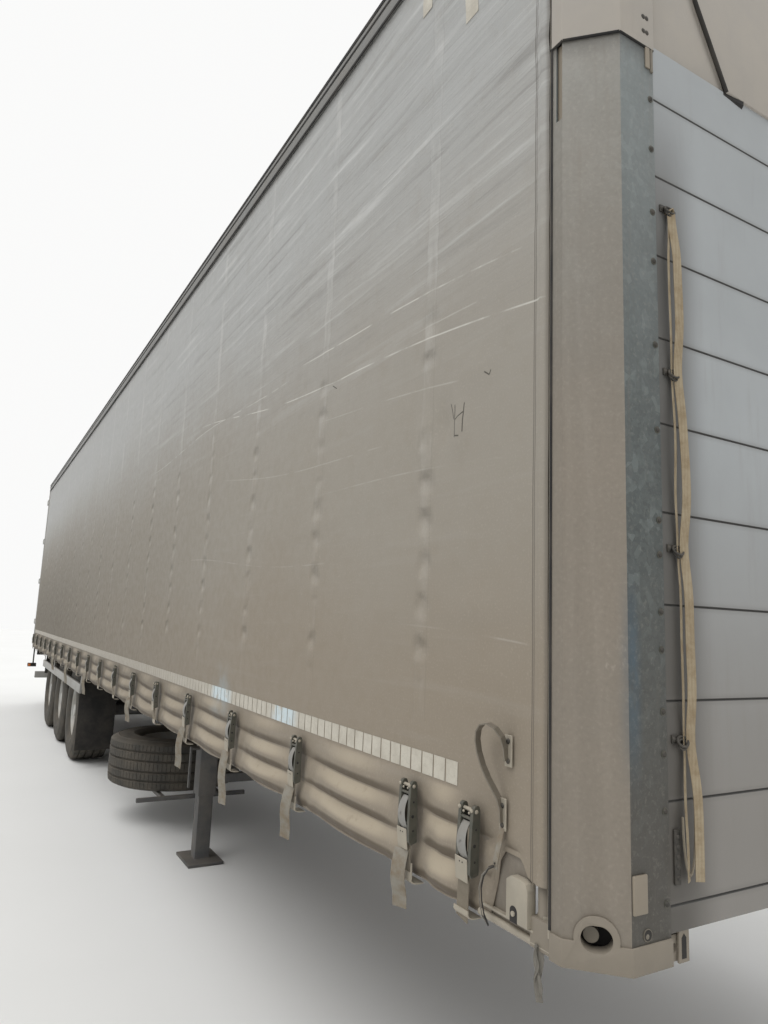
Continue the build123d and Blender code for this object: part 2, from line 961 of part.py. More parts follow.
# Leg bracing: cross tube, raking braces and the gear shaft with its crank
crank_y = -leg_y - leg_size / 2
with BuildPart() as leg_bracing:
    block(
        (leg_x - brace_size / 2, leg_x + brace_size / 2),
        (-leg_in, leg_in),
        (brace_level, brace_level + brace_size),
    )
    with BuildSketch(at_y(flange_edge)):
        Polygon(
            (leg_x - brace_size / 2, brace_level),
            (leg_x - brace_size / 2, brace_level + brace_size),
            (leg_x - leg_size / 2 - brace_run[0], beam_low),
            (leg_x - leg_size / 2 - brace_run[1], beam_low),
            align=None,
        )
    extrude(amount=brace_size)
    mirror(about=Plane.XZ)
    with BuildSketch(at_y(leg_in)):
        with Locations((leg_x, shaft_height)):
            Circle(shaft_diameter / 2)
    extrude(amount=2 * leg_in)
    with BuildSketch(at_y(crank_y)):
        with Locations((leg_x, shaft_height)):
            Circle(crank_diameter / 2)
    extrude(amount=crank_reach)
    block(
        (leg_x - crank_thick, leg_x + crank_thick),
        (crank_y - crank_reach - crank_thick, crank_y - crank_reach),
        (shaft_height - crank_drop, shaft_height + crank_thick),
    )
save(leg_bracing, "leg_bracing")

# Spare wheel's carrier, hung from the right beam
spare_x = x_front - spare_setback
carrier_reach = tyre_radius + carrier_gap
carrier_levels = (spare_low - carrier_bar, spare_low)
with BuildPart() as spare_carrier:
    for way in sides:
        y = -spare_side + way * carrier_rails / 2
        block(
            (spare_x - carrier_reach - carrier_bar, spare_x + carrier_reach + carrier_bar),
            (y - carrier_bar / 2, y + carrier_bar / 2),
            carrier_levels,
        )
        ends = (spare_x + way * carrier_reach, spare_x + way * (carrier_reach + carrier_bar))
        block(ends, (-spare_side - carrier_half, -spare_side + carrier_half), carrier_levels)
        block(
            ends,
            (-beam_y - carrier_hanger / 2, -beam_y + carrier_hanger / 2),
            (carrier_levels[0], beam_low),
        )
save(spare_carrier, "spare_carrier")


# What is round and repeats, such as the wheels, tanks and rods, is a polygon of few sides,
# apart from bores and spindles that turn
def slope(drop, run):
    """Taper at which a wheel polygon's corners draw in by a drop over a run, in degrees."""
    return degrees(atan(drop * cos(pi / wheel_sides) / run))


def make_tyre():
    """Tyre with bevelled shoulders, on its own axis."""
    half = tyre_width / 2
    drop, step = tyre_shoulder
    with BuildPart() as tyre:
        for height, run in ((step - half, -step), (half - step, step)):
            with BuildSketch(at_z(height)):
                RegularPolygon(tyre_radius, wheel_sides)
            extrude(amount=run, taper=slope(drop, step))
        with BuildSketch(at_z(step - half)):
            RegularPolygon(tyre_radius, wheel_sides)
        extrude(amount=2 * (half - step))
        with BuildSketch(at_z(-half)):
            RegularPolygon(rim_radius + running_gap, wheel_sides)
        extrude(amount=tyre_width, mode=Mode.SUBTRACT)
    return tyre


def make_rim(bore, bore_end, hub):
    """Rim with a dished outer side and a bore, on its own axis, with or without a hub."""
    half = rim_width / 2
    with BuildPart() as rim:
        with BuildSketch(at_z(-half)):
            RegularPolygon(rim_radius, wheel_sides)
        extrude(amount=rim_width)
        with BuildSketch(at_z(half)):
            RegularPolygon(rim_radius - rim_lip, wheel_sides)
        extrude(amount=-dish_depth, taper=slope(dish_taper, dish_depth), mode=Mode.SUBTRACT)
        if hub:
            with BuildSketch(at_z(half - dish_depth)):
                RegularPolygon(hub_diameter / 2, vessel_sides)
            extrude(amount=hub_reach - half + dish_depth)
        with BuildSketch(at_z(-half)):
            Circle(bore)
        extrude(amount=half + bore_end, mode=Mode.SUBTRACT)
    return rim


spare_tyre = make_tyre()
spare_tyre.part.locate(Location((spare_x, -spare_side, spare_low + tyre_width / 2)))
save(spare_tyre, "spare_tyre")

spare_rim = make_rim(spare_bore / 2, rim_width / 2, hub=False)
spare_rim.part.locate(Location((spare_x, -spare_side, spare_low + tyre_width / 2)))
save(spare_rim, "spare_rim")

# Suspension: hanger brackets, trailing arms, axle beams, air bags, shock absorbers
arm_top = tyre_radius + axle_size / 2 + arm_thick
with BuildPart() as hanger_brackets:
    with BuildSketch(at_y(beam_y)):
        for x in axle_places:
            Polygon(
                (x + arm_pivot - hanger_half[1], rear_beam_low),
                (x + arm_pivot - hanger_half[0], hanger_low),
                (x + arm_pivot + hanger_half[0], hanger_low),
                (x + arm_pivot + hanger_half[1], rear_beam_low),
                align=None,
            )
    extrude(amount=hanger_half[0], both=True)
    mirror(about=Plane.XZ)
save(hanger_brackets, "hanger_brackets")

arm_bend = bag_offset - bag_diameter / 2 - bag_clear
with BuildPart() as trailing_arms:
    with BuildSketch(at_y(beam_y)):
        for x in axle_places:
            Polygon(
                (x + arm_pivot - arm_nose, arm_low),
                (x + arm_pivot - arm_nose, arm_eye),
                (x + axle_size / 2, arm_top),
                (x - axle_size / 2, arm_top),
                (x - arm_bend, arm_seat),
                (x - arm_tail, arm_seat),
                (x - arm_tail, arm_low),
                (x - arm_bend, arm_low),
                (x - axle_size / 2, arm_top - arm_thick),
                (x + axle_size / 2, arm_top - arm_thick),
                align=None,
            )
    extrude(amount=arm_width / 2, both=True)
    mirror(about=Plane.XZ)
save(trailing_arms, "trailing_arms")

axle_half = track / 2 - rim_width / 2 - axle_clear
spindle_length = track / 2 + spindle_reach - axle_half
with BuildPart() as axle_beams:
    for x in axle_places:
        block(
            (x - axle_size / 2, x + axle_size / 2),
            (-axle_half, axle_half),
            (tyre_radius - axle_size / 2, tyre_radius + axle_size / 2),
        )
        for side in sides:
            with BuildSketch(at_y(side * axle_half)):
                with Locations((x, tyre_radius)):
                    Circle(spindle_diameter / 2)
            extrude(amount=-side * spindle_length)
save(axle_beams, "axle_beams")

with BuildPart() as air_bags:
    for x in axle_places:
        for side in sides:
            with BuildSketch(at_z(arm_seat)):
                with Locations((x - bag_offset, side * beam_y)):
                    RegularPolygon(bag_diameter / 2, vessel_sides)
            extrude(amount=rear_beam_low - arm_seat)
save(air_bags, "air_bags")

shock_y = inner_edge - shock_gap
axle_top = tyre_radius + axle_size / 2
with BuildPart() as shock_absorbers:
    for x in axle_places:
        for side in sides:
            with BuildSketch(at_z(axle_top)):
                with Locations((x, side * shock_y)):
                    RegularPolygon(shock_diameter / 2, tube_sides)
            extrude(amount=rear_beam_low - running_gap - axle_top)
            block(
                (x - shock_diameter / 2, x + shock_diameter / 2),
                (side * (shock_y - shock_diameter / 2), side * inner_edge),
                (rear_beam_low, rear_beam_low + flange_thick),
            )
save(shock_absorbers, "shock_absorbers")

chamber_y = inner_edge - chamber_inset
with BuildPart() as brake_chambers:
    for x in axle_places:
        for side in sides:
            with BuildSketch(at_x(x - axle_size / 2 - chamber_length)):
                with Locations((side * chamber_y, tyre_radius)):
                    RegularPolygon(chamber_diameter / 2, vessel_sides)
            extrude(amount=chamber_length)
save(brake_chambers, "brake_chambers")

# Air tanks slung across under two crossmembers
member_low = floor_low - crossmember_depth
tank_high = member_low - tank_drop
tank_half = inner_edge - tank_inset
strap_out = tank_half - tank_strap_inset
strap_places = (strap_out - tank_strap_width, strap_out)
with BuildPart() as air_tanks:
    for x in (body_members[i] for i in tank_members):
        with BuildSketch(at_y(tank_half)):
            with Locations((x, tank_high - tank_diameter / 2)):
                RegularPolygon(tank_diameter / 2, vessel_sides)
        extrude(amount=2 * tank_half)
        for side in sides:
            block(
                (x - stay_width / 2, x + stay_width / 2),
                (side * strap_places[0], side * strap_places[1]),
                (tank_high + running_gap, member_low),
            )
save(air_tanks, "air_tanks")

# Mudguards: one folded sheet a side over the three wheels
guard_front = axle_places[0] + tyre_radius + guard_reach
guard_back = axle_places[-1] - tyre_radius - guard_reach
guard_top = tyre_diameter + guard_rise
guard_line = [
    (guard_back, guard_low),
    (guard_back, guard_knee),
    (guard_back + guard_slope, guard_top),
    (guard_front - guard_slope, guard_top),
    (guard_front, guard_knee),
    (guard_front, guard_low),
]
guard_in = tyre_in - guard_lap
guard_out = tyre_out + guard_side
with BuildPart() as mudguards:
    with BuildSketch(at_y(guard_out)):
        Polygon(*band(guard_line, -guard_wall), align=None)
    extrude(amount=guard_out - guard_in)
    mirror(about=Plane.XZ)
save(mudguards, "mudguards")

# Strips over the wheels, on stays whose feet reach across under the raves
stay_places = [guard_front + strip_front / 2, guard_back - strip_back / 2]
stay_places += [(a + b) / 2 for a, b in zip(axle_places, axle_places[1:])]
stay_foot = (
    min(guard_out, rave_out - rave_lip_width),
    max(guard_out + stay_thick, rave_out),
)
with BuildPart() as wheel_strips:
    block(
        (guard_back - strip_back, guard_front + strip_front),
        (guard_out, guard_out + strip_thick),
        (strip_low, strip_high),
    )
    for x in stay_places:
        stay = (x - stay_width / 2, x + stay_width / 2)
        block(stay, (guard_out, guard_out + stay_thick), (strip_high, rave_low))
        block(stay, stay_foot, (rave_low - stay_thick, rave_low))
    mirror(about=Plane.XZ)
save(wheel_strips, "wheel_strips")

flap_x = guard_front + flap_setback
with BuildPart() as mud_flaps:
    block((flap_x, flap_x + flap_thick), (tyre_in + flap_inset, guard_out), (flap_low, strip_high))
    mirror(about=Plane.XZ)
save(mud_flaps, "mud_flaps")

# Wheels: a tyre and a rim with its hub on each end of each axle
hub_bore = spindle_diameter / 2 + running_gap
for number, axle_x in enumerate(axle_places, start=1):
    for side in sides:
        name = f"{number}_{side_names[side]}"
        centre = Location((axle_x, side * track / 2, tyre_radius), (-90 * side, 0, 0))

        tyre = make_tyre()
        tyre.part.locate(centre)
        save(tyre, f"tyre_{name}")

        rim = make_rim(hub_bore, spindle_reach + running_gap, hub=True)
        rim.part.locate(centre)
        save(rim, f"rim_{name}")
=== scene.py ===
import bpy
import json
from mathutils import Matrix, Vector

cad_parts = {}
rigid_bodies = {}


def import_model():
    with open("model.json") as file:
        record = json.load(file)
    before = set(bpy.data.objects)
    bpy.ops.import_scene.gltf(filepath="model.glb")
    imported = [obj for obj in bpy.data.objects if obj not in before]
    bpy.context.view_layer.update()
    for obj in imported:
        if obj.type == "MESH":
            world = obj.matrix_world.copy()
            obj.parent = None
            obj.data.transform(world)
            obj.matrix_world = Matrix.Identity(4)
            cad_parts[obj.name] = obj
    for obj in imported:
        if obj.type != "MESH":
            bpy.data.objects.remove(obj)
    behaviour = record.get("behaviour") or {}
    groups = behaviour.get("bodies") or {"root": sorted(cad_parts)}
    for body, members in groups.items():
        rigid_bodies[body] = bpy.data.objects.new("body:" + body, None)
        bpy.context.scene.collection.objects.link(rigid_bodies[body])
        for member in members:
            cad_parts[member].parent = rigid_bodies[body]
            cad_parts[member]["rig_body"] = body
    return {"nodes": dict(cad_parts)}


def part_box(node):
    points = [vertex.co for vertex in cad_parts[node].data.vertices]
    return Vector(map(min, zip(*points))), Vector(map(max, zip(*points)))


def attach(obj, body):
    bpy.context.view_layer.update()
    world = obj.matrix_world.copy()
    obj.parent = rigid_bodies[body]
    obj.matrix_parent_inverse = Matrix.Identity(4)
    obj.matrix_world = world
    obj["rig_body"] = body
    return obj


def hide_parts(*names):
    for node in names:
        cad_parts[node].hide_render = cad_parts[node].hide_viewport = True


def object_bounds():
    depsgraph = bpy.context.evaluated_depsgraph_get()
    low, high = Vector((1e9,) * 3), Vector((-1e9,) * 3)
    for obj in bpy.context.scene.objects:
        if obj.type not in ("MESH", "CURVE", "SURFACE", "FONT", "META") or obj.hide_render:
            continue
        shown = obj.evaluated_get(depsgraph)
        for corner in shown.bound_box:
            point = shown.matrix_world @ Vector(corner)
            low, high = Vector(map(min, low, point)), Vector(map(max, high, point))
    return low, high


bl_info = {
    "name": "Curtain-sided semi trailer",
    "version": (1, 0, 0),
    "blender": (4, 5, 0),
    "location": "View3D > Sidebar > Trailer",
    "description": "Dresses a curtain-sided semi trailer with cloth, webbing, fittings and finishes",
    "category": "Add Mesh",
}

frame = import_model()

import json
import math
import random

import bmesh
import bpy
from bpy.props import FloatProperty, FloatVectorProperty, IntProperty
from mathutils import Matrix, Vector, noise

CAD_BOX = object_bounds()

# The frame that the pieces are hung on, in metres
FRONT = CAD_BOX[1].x
POST_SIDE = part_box("front_corner_posts")[1].y
RAVE_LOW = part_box("side_raves")[0].z
RAVE_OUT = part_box("side_raves")[1].y
ROOF_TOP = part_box("roof_rails")[1].z
RAIL_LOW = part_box("roof_rails")[0].z
CLOTH_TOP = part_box("curtain_right")[1].z
CLOTH_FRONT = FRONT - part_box("curtain_right")[1].x
CLOTH_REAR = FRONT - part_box("curtain_right")[0].x
CLOTH_PLANE = 1.263
HEM = 0.992
ROLL_TOP = 1.246
ROLLS = 3
CELL_START = 0.34
DENT_LOW = 1.517
DENT_PITCH = 0.121
TAPE_START = 0.474
PLANK_JOINT = 1.0958
PLANK_PITCH = 0.2048
SCREW_LINE = 1.0725
SIDES = {"left": 1, "right": -1}

# The buckles' places behind the front, and their webbing's width, in metres
BUCKLE_FIRST = (0.395, 0.66, 1.43)
BUCKLE_PITCH = 0.74
BUCKLE_LAST = 13.3
WEBBING = 0.042
BUCKLES = list(BUCKLE_FIRST)
while BUCKLES[-1] + BUCKLE_PITCH < BUCKLE_LAST:
    BUCKLES.append(BUCKLES[-1] + BUCKLE_PITCH)

# The stowed strap and the rings that hold it, in metres
RING_LEVELS = (2.6548, 2.2452, 1.8356, 1.4260)
STRAP_LINE = -1.022
STRAP_TOP = 2.640
STRAP_DROP = 1.50
STRAP_STEPS = 64

# How far a tyre's blocks stand up, in metres, and how many studs a wheel has
BLOCK_RISE = 0.004
STUDS = 10

# The shader's sockets that a finish may set to one plain value
CONSTANTS = {
    "metallic": "Metallic",
    "specular": "Specular IOR Level",
    "coat": "Coat Weight",
    "coat_roughness": "Coat Roughness",
}

# Long scratches: height, climb per metre, start and end behind the front, strength
SCRATCHES = (
    (2.42, 0.112, 0.15, 3.3, 0.6),
    (2.585, 0.10, 0.24, 1.9, 0.55),
    (2.70, 0.006, 1.7, 4.6, 0.4),
    (2.50, 0.045, 0.3, 0.9, 0.35),
    (2.30, 0.13, 0.5, 1.6, 0.2),
    (2.20, 0.09, 0.9, 2.8, 0.16),
    (2.05, 0.07, 0.3, 1.5, 0.14),
    (1.86, 0.05, 1.3, 3.6, 0.14),
    (1.60, 0.05, 0.2, 0.9, 0.16),
)

# Small tears in the right cloth: both ends as distance behind the front and height
TEARS = (
    ((0.545, 2.262), (0.53, 2.215)), ((0.52, 2.21), (0.478, 2.225)), ((0.478, 2.25), (0.482, 2.168)),
    ((0.392, 2.312), (0.372, 2.298)), ((1.335, 2.535), (1.30, 2.515)), ((0.372, 2.298), (0.366, 2.31)),
    ((0.52, 2.165), (0.497, 2.16)),
)

X_AXIS, Y_AXIS, Z_AXIS = Vector((1, 0, 0)), Vector((0, 1, 0)), Vector((0, 0, 1))


def srgb(red, green, blue):
    """A colour as it looks on screen, from 0 to 255, turned to scene-linear with full alpha."""
    def linear(value):
        value /= 255
        return value / 12.92 if value <= 0.04045 else ((value + 0.055) / 1.055) ** 2.4
    return (linear(red), linear(green), linear(blue), 1.0)


def shade(colour):
    """A colour as a socket takes it: three numbers from 0 to 255 are turned, any other is left."""
    return srgb(*colour) if isinstance(colour, tuple) and len(colour) == 3 else colour


def mixed(first, second, share):
    """A colour part of the way between two others."""
    return tuple(a + (b - a) * share for a, b in zip(shade(first), shade(second)))


def smooth(value, low, high):
    """0 below low, 1 above high and an eased step between."""
    t = min(max((value - low) / (high - low), 0.0), 1.0)
    return t * t * (3 - 2 * t)


def bell(value, width):
    """A soft hump of height 1 at 0."""
    return math.exp(-((value / width) ** 2))


def ring_points(count, radius, start=0.0):
    """Points spaced evenly round a circle."""
    turns = [start + 2 * math.pi * i / count for i in range(count)]
    return [(radius * math.cos(turn), radius * math.sin(turn)) for turn in turns]


def spot(behind, side, out, height):
    """A point by its distance behind the front, its distance out to one side and its height."""
    return Vector((FRONT - behind, side * out, height))


def colour_property(name, description, *colour):
    """A colour that the user can change, given from 0 to 255."""
    return FloatVectorProperty(
        name=name, description=description, default=srgb(*colour), size=4, subtype="COLOR", min=0, max=1
    )


def length_property(name, description, default):
    """A length in metres that the user can change."""
    return FloatProperty(name=name, description=description, default=default, unit="LENGTH", precision=4)


def angle_property(name, description, turn):
    """An angle, given in degrees, that the user can change."""
    return FloatProperty(name=name, description=description, default=math.radians(turn), subtype="ANGLE")


def number_property(name, description, default, kind=FloatProperty):
    """A plain number or count that the user can change."""
    return kind(name=name, description=description, default=default)


class Field:
    """A number that changes over a surface, so that shader maths reads as an expression."""

    def __init__(self, finish, socket):
        self.finish = finish
        self.socket = socket

    def maths(self, operation, *values):
        made = self.finish.node("ShaderNodeMath", {"operation": operation}, dict(enumerate(values)))
        return Field(self.finish, made.outputs[0])

    def __add__(self, other):
        return self.maths("ADD", self, other)

    __radd__ = __add__

    def __sub__(self, other):
        return self.maths("SUBTRACT", self, other)

    def __rsub__(self, other):
        return self.maths("SUBTRACT", other, self)

    def __mul__(self, other):
        return self.maths("MULTIPLY", self, other)

    __rmul__ = __mul__

    def __mod__(self, other):
        return self.maths("FLOORED_MODULO", self, other)

    def __abs__(self):
        return self.maths("ABSOLUTE", self)

    def most(self, other):
        return self.maths("MAXIMUM", self, other)

    def sine(self):
        return self.maths("SINE", self)

    def ripple(self, pitch):
        """A wave that comes again at each pitch."""
        return (self * (2 * math.pi / pitch)).sine()

    def step(self, low, high):
        """0 at low, 1 at high and an eased step between; low may be above high."""
        made = self.finish.node(
            "ShaderNodeMapRange",
            {"interpolation_type": "SMOOTHSTEP"},
            {"Value": self, "From Min": low, "From Max": high},
        )
        return Field(self.finish, made.outputs["Result"])

    def near(self, centre, width):
        """A mask that falls away on both sides of a value."""
        return abs(self - centre).step(width, 0.0)


class Finish:
    """A material on Object coordinates in the making, or a world on Generated ones."""

    def __init__(self, name, coordinates="Object"):
        library = bpy.data.materials if coordinates == "Object" else bpy.data.worlds
        self.owner = library.new(name)
        self.owner.use_nodes = True
        self.tree = self.owner.node_tree
        self.tree.nodes.clear()
        self.point = self.node("ShaderNodeTexCoord").outputs[coordinates]
        self.x, self.y, self.z = self.axes(self.point)

    def axes(self, vector):
        """A vector's three numbers."""
        split = self.node("ShaderNodeSeparateXYZ", None, {0: vector})
        return [Field(self, out) for out in split.outputs]

    def facing(self):
        """How far the surface faces along each axis."""
        return self.axes(self.node("ShaderNodeNewGeometry").outputs["Normal"])

    def node(self, kind, settings=None, inputs=None):
        """A node of one kind, its settings made first and then its sockets' values and links."""
        made = self.tree.nodes.new(kind)
        for name, value in (settings or {}).items():
            setattr(made, name, value)
        for name, value in (inputs or {}).items():
            value = value.socket if isinstance(value, Field) else value
            if isinstance(value, bpy.types.NodeSocket):
                self.tree.links.new(value, made.inputs[name])
            else:
                made.inputs[name].default_value = value
        return made

    def textured(self, kind, settings, stretch, values):
        """A pattern's node, its coordinates squeezed along each axis where that is asked."""
        values["Vector"] = self.point
        if stretch:
            mapping = self.node("ShaderNodeMapping", None, {"Vector": self.point, "Scale": stretch})
            values["Vector"] = mapping.outputs[0]
        return self.node(kind, settings, values)

    def noise(self, scale, detail=4.0, roughness=0.55, stretch=None, distortion=0.0):
        values = {"Scale": scale, "Detail": detail, "Roughness": roughness, "Distortion": distortion}
        return Field(self, self.textured("ShaderNodeTexNoise", None, stretch, values).outputs["Fac"])

    def cells(self, scale, stretch=None):
        """A different number in each cell."""
        made = self.textured("ShaderNodeTexVoronoi", {"feature": "F1"}, stretch, {"Scale": scale})
        colour = self.node("ShaderNodeSeparateColor", None, {0: made.outputs["Color"]})
        return Field(self, colour.outputs[0])

    def cell_edges(self, scale, randomness=1.0):
        """The distance from the nearest border between cells."""
        values = {"Scale": scale, "Randomness": randomness}
        made = self.textured("ShaderNodeTexVoronoi", {"feature": "DISTANCE_TO_EDGE"}, None, values)
        return Field(self, made.outputs["Distance"])

    def stroke(self, along, across, start, end, width):
        """A mask that is 1 on a straight mark between two points of a plane."""
        run = math.hypot(end[0] - start[0], end[1] - start[1])
        ux, uy = (end[0] - start[0]) / run, (end[1] - start[1]) / run
        forward = (along - start[0]) * ux + (across - start[1]) * uy
        beside = abs((across - start[1]) * ux - (along - start[0]) * uy)
        inside = abs(forward - run / 2).step(run / 2 + width, run / 2 - width)
        return beside.step(width, width * 0.4) * inside

    def mix(self, factor, first, second):
        """One colour laid over another as far as factor says."""
        settings = {"data_type": "RGBA", "clamp_factor": True}
        values = {0: factor, 6: shade(first), 7: shade(second)}
        return self.node("ShaderNodeMix", settings, values).outputs[2]

    def lay(self, factor, colour):
        """Lay a colour over the finish so far, as far as factor says."""
        self.colour = self.mix(factor, self.colour, colour)

    def bump(self, height, distance, strength=1.0, normal=None):
        values = {"Height": height, "Distance": distance, "Strength": strength}
        if normal is not None:
            values["Normal"] = normal
        return self.node("ShaderNodeBump", None, values).outputs[0]

    def done(self, roughness, normal=None, **constants):
        """Close the finish with one Principled shader and give the material."""
        values = {"Base Color": self.colour, "Roughness": roughness}
        if normal is not None:
            values["Normal"] = normal
        values.update({CONSTANTS[name]: value for name, value in constants.items()})
        shader = self.node("ShaderNodeBsdfPrincipled", None, values)
        self.node("ShaderNodeOutputMaterial", None, {"Surface": shader.outputs[0]})
        return self.owner


class Shape:
    """One mesh in the making, built up with bmesh operators."""

    def __init__(self):
        self.bm = bmesh.new()

    def block(self, low, high, edge=0.0, segments=2):
        """A box between two corners, with its edges rounded."""
        low, high = Vector(low), Vector(high)
        place = Matrix.Translation((low + high) / 2) @ Matrix.Diagonal((*(high - low), 1))
        made = bmesh.ops.create_cube(self.bm, size=1, matrix=place)["verts"]
        return self.eased(made, edge, segments) if edge else made

    def eased(self, made, edge, segments=2):
        """Round the edges of a shape that has just been made."""
        edges = list({line for corner in made for line in corner.link_edges})
        result = bmesh.ops.bevel(
            self.bm, geom=edges, offset=edge, segments=segments, affect="EDGES", profile=0.5, material=-1
        )
        return list({corner for face in result["faces"] for corner in face.verts})

    def rod(self, start, end, radius, sides=12, tip=None):
        """A round bar or cone between two points."""
        start, end = Vector(start), Vector(end)
        run = end - start
        place = Matrix.Translation((start + end) / 2) @ run.to_track_quat("Z", "Y").to_matrix().to_4x4()
        return bmesh.ops.create_cone(
            self.bm, cap_ends=True, segments=sides, radius1=radius,
            radius2=radius if tip is None else tip, depth=run.length, matrix=place,
        )["verts"]

    def dome(self, centre, axis, radius, height, sides=12, rings=6):
        """A flattened ball, such as a rivet's head."""
        turn = Vector(axis).to_track_quat("Z", "Y").to_matrix().to_4x4()
        place = Matrix.Translation(Vector(centre)) @ turn @ Matrix.Diagonal((radius, radius, height, 1))
        return bmesh.ops.create_uvsphere(
            self.bm, u_segments=sides, v_segments=rings, radius=1, matrix=place
        )["verts"]

    def prism(self, outline, place, thick):
        """A flat outline in a placed plane's x and y, given a thickness along its z."""
        corners = [self.bm.verts.new(place @ Vector((a, b, 0))) for a, b in outline]
        face = self.bm.faces.new(corners)
        grown = bmesh.ops.extrude_face_region(self.bm, geom=[face])["geom"]
        moved = [item for item in grown if isinstance(item, bmesh.types.BMVert)]
        bmesh.ops.translate(self.bm, verts=moved, vec=place.to_3x3() @ Vector((0, 0, thick)))
        return corners + moved

    def sweep(self, section, path, across):
        """A section carried along a path; its first axis stays as near across as it can."""
        path = [Vector(point) for point in path]
        across = Vector(across)

        def station(i):
            tangent = (path[min(i + 1, len(path) - 1)] - path[max(i - 1, 0)]).normalized()
            up = tangent.cross(across).normalized()
            flat = up.cross(tangent)
            turn = Matrix((flat, up, tangent)).transposed().to_4x4()
            return Matrix.Translation(path[i]) @ turn

        place = station(0)
        face = self.bm.faces.new([self.bm.verts.new(place @ Vector((a, b, 0))) for a, b in section])
        made = list(face.verts)
        for i in range(1, len(path)):
            grown = bmesh.ops.extrude_face_region(self.bm, geom=[face])["geom"]
            face = next(item for item in grown if isinstance(item, bmesh.types.BMFace))
            following = station(i)
            bmesh.ops.transform(
                self.bm, verts=list(face.verts), matrix=following @ place.inverted_safe()
            )
            made += list(face.verts)
            place = following
        return made

    def tube(self, path, radius, across=Y_AXIS, sides=10):
        """A bent round bar."""
        return self.sweep(ring_points(sides, radius), path, across)

    def ribbon(self, path, width, thick, across=X_AXIS):
        """A flat band that follows a path."""
        w, t = width / 2, thick / 2
        return self.sweep([(-w, -t), (w, -t), (w, t), (-w, t)], path, across)

    def lathe(self, outline, centre, axis, steps=48, closed=True):
        """An outline of (radius, distance along the axis) spun about the axis."""
        axis = Vector(axis).normalized()
        place = Matrix.Translation(Vector(centre)) @ axis.to_track_quat("Z", "Y").to_matrix().to_4x4()
        corners = [self.bm.verts.new(place @ Vector((radius, 0, along))) for radius, along in outline]
        pairs = list(zip(corners, corners[1:] + corners[:1] if closed else corners[1:]))
        edges = [self.bm.edges.new(pair) for pair in pairs]
        before = set(self.bm.verts) - set(corners)
        bmesh.ops.spin(
            self.bm, geom=corners + edges, cent=Vector(centre), axis=axis, angle=2 * math.pi,
            steps=steps, use_merge=True,
        )
        made = [corner for corner in self.bm.verts if corner not in before]
        on_axis = [c for c in made if (place.inverted_safe() @ c.co).to_2d().length < 1e-6]
        if on_axis:
            bmesh.ops.remove_doubles(self.bm, verts=on_axis, dist=1e-6)
        return [corner for corner in made if corner.is_valid]

    def stamp(self, template, place):
        """A copy of a finished mesh, put in place."""
        copy = template.copy()
        copy.transform(place)
        self.bm.from_mesh(copy)
        bpy.data.meshes.remove(copy)

    def grid(self, columns, rows, put):
        """A grid of cells, each corner put where its shares of the way along and up say."""
        made = bmesh.ops.create_grid(self.bm, x_segments=columns, y_segments=rows, size=0.5)["verts"]
        for corner in made:
            corner.co = put(corner.co.x + 0.5, corner.co.y + 0.5)

    def mesh(self, name, facing=True, crease=35):
        """The finished mesh, its faces outwards and its gentle edges smooth."""
        if facing:
            bmesh.ops.recalc_face_normals(self.bm, faces=self.bm.faces)
        for face in self.bm.faces:
            face.smooth = True
        for line in self.bm.edges:
            line.smooth = line.calc_face_angle(math.pi) < math.radians(crease)
        made = bpy.data.meshes.new(name)
        self.bm.to_mesh(made)
        self.bm.free()
        return made

    def piece(self, name, finish, slot=None, body="trailer", nodes=(), crease=35, facing=True):
        """Place the finished mesh in the scene as one piece that rides on a body."""
        usual, material = finishes[finish]
        made = self.mesh(name, facing, crease)
        made.materials.append(material)
        obj = bpy.data.objects.new(name, made)
        bpy.context.scene.collection.objects.link(obj)
        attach(obj, body)
        if nodes:
            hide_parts(*nodes)
        return obj

    def sheet(self, name, finish, way, wall, nodes=(), crease=80):
        """A grid as a piece, every face turned one way and a thickness given behind them."""
        bmesh.ops.recalc_face_normals(self.bm, faces=self.bm.faces)
        turned = [face for face in self.bm.faces if face.normal.dot(way) < 0]
        bmesh.ops.reverse_faces(self.bm, faces=turned)
        obj = self.piece(name, finish, nodes=nodes, facing=False, crease=crease)
        modifier = obj.modifiers.new("wall", "SOLIDIFY")
        modifier.thickness = wall
        modifier.offset = -1
        return obj


def refined(node, finish, edge, slot=None, segments=2):
    """A CAD piece's own shape with its corners welded, its edges eased and its curves smooth."""
    source = frame["nodes"][node]
    shape = Shape()
    shape.bm.from_mesh(source.data)
    bmesh.ops.remove_doubles(shape.bm, verts=shape.bm.verts, dist=1e-5)
    bmesh.ops.dissolve_limit(
        shape.bm, angle_limit=math.radians(0.5), verts=shape.bm.verts, edges=shape.bm.edges
    )
    if edge:
        sharp = [line for line in shape.bm.edges if line.calc_face_angle(0) > math.radians(40)]
        bmesh.ops.bevel(
            shape.bm, geom=sharp, offset=edge, segments=segments, affect="EDGES", profile=0.5,
            material=-1, clamp_overlap=True,
        )
    shape.piece(f"{node}_body", finish, slot, source["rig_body"], [node], facing=False)


def refine(*rows):
    """Refine CAD pieces, each row with its node, finish, edge radius and any slot of its own."""
    for row in rows:
        refined(*row)


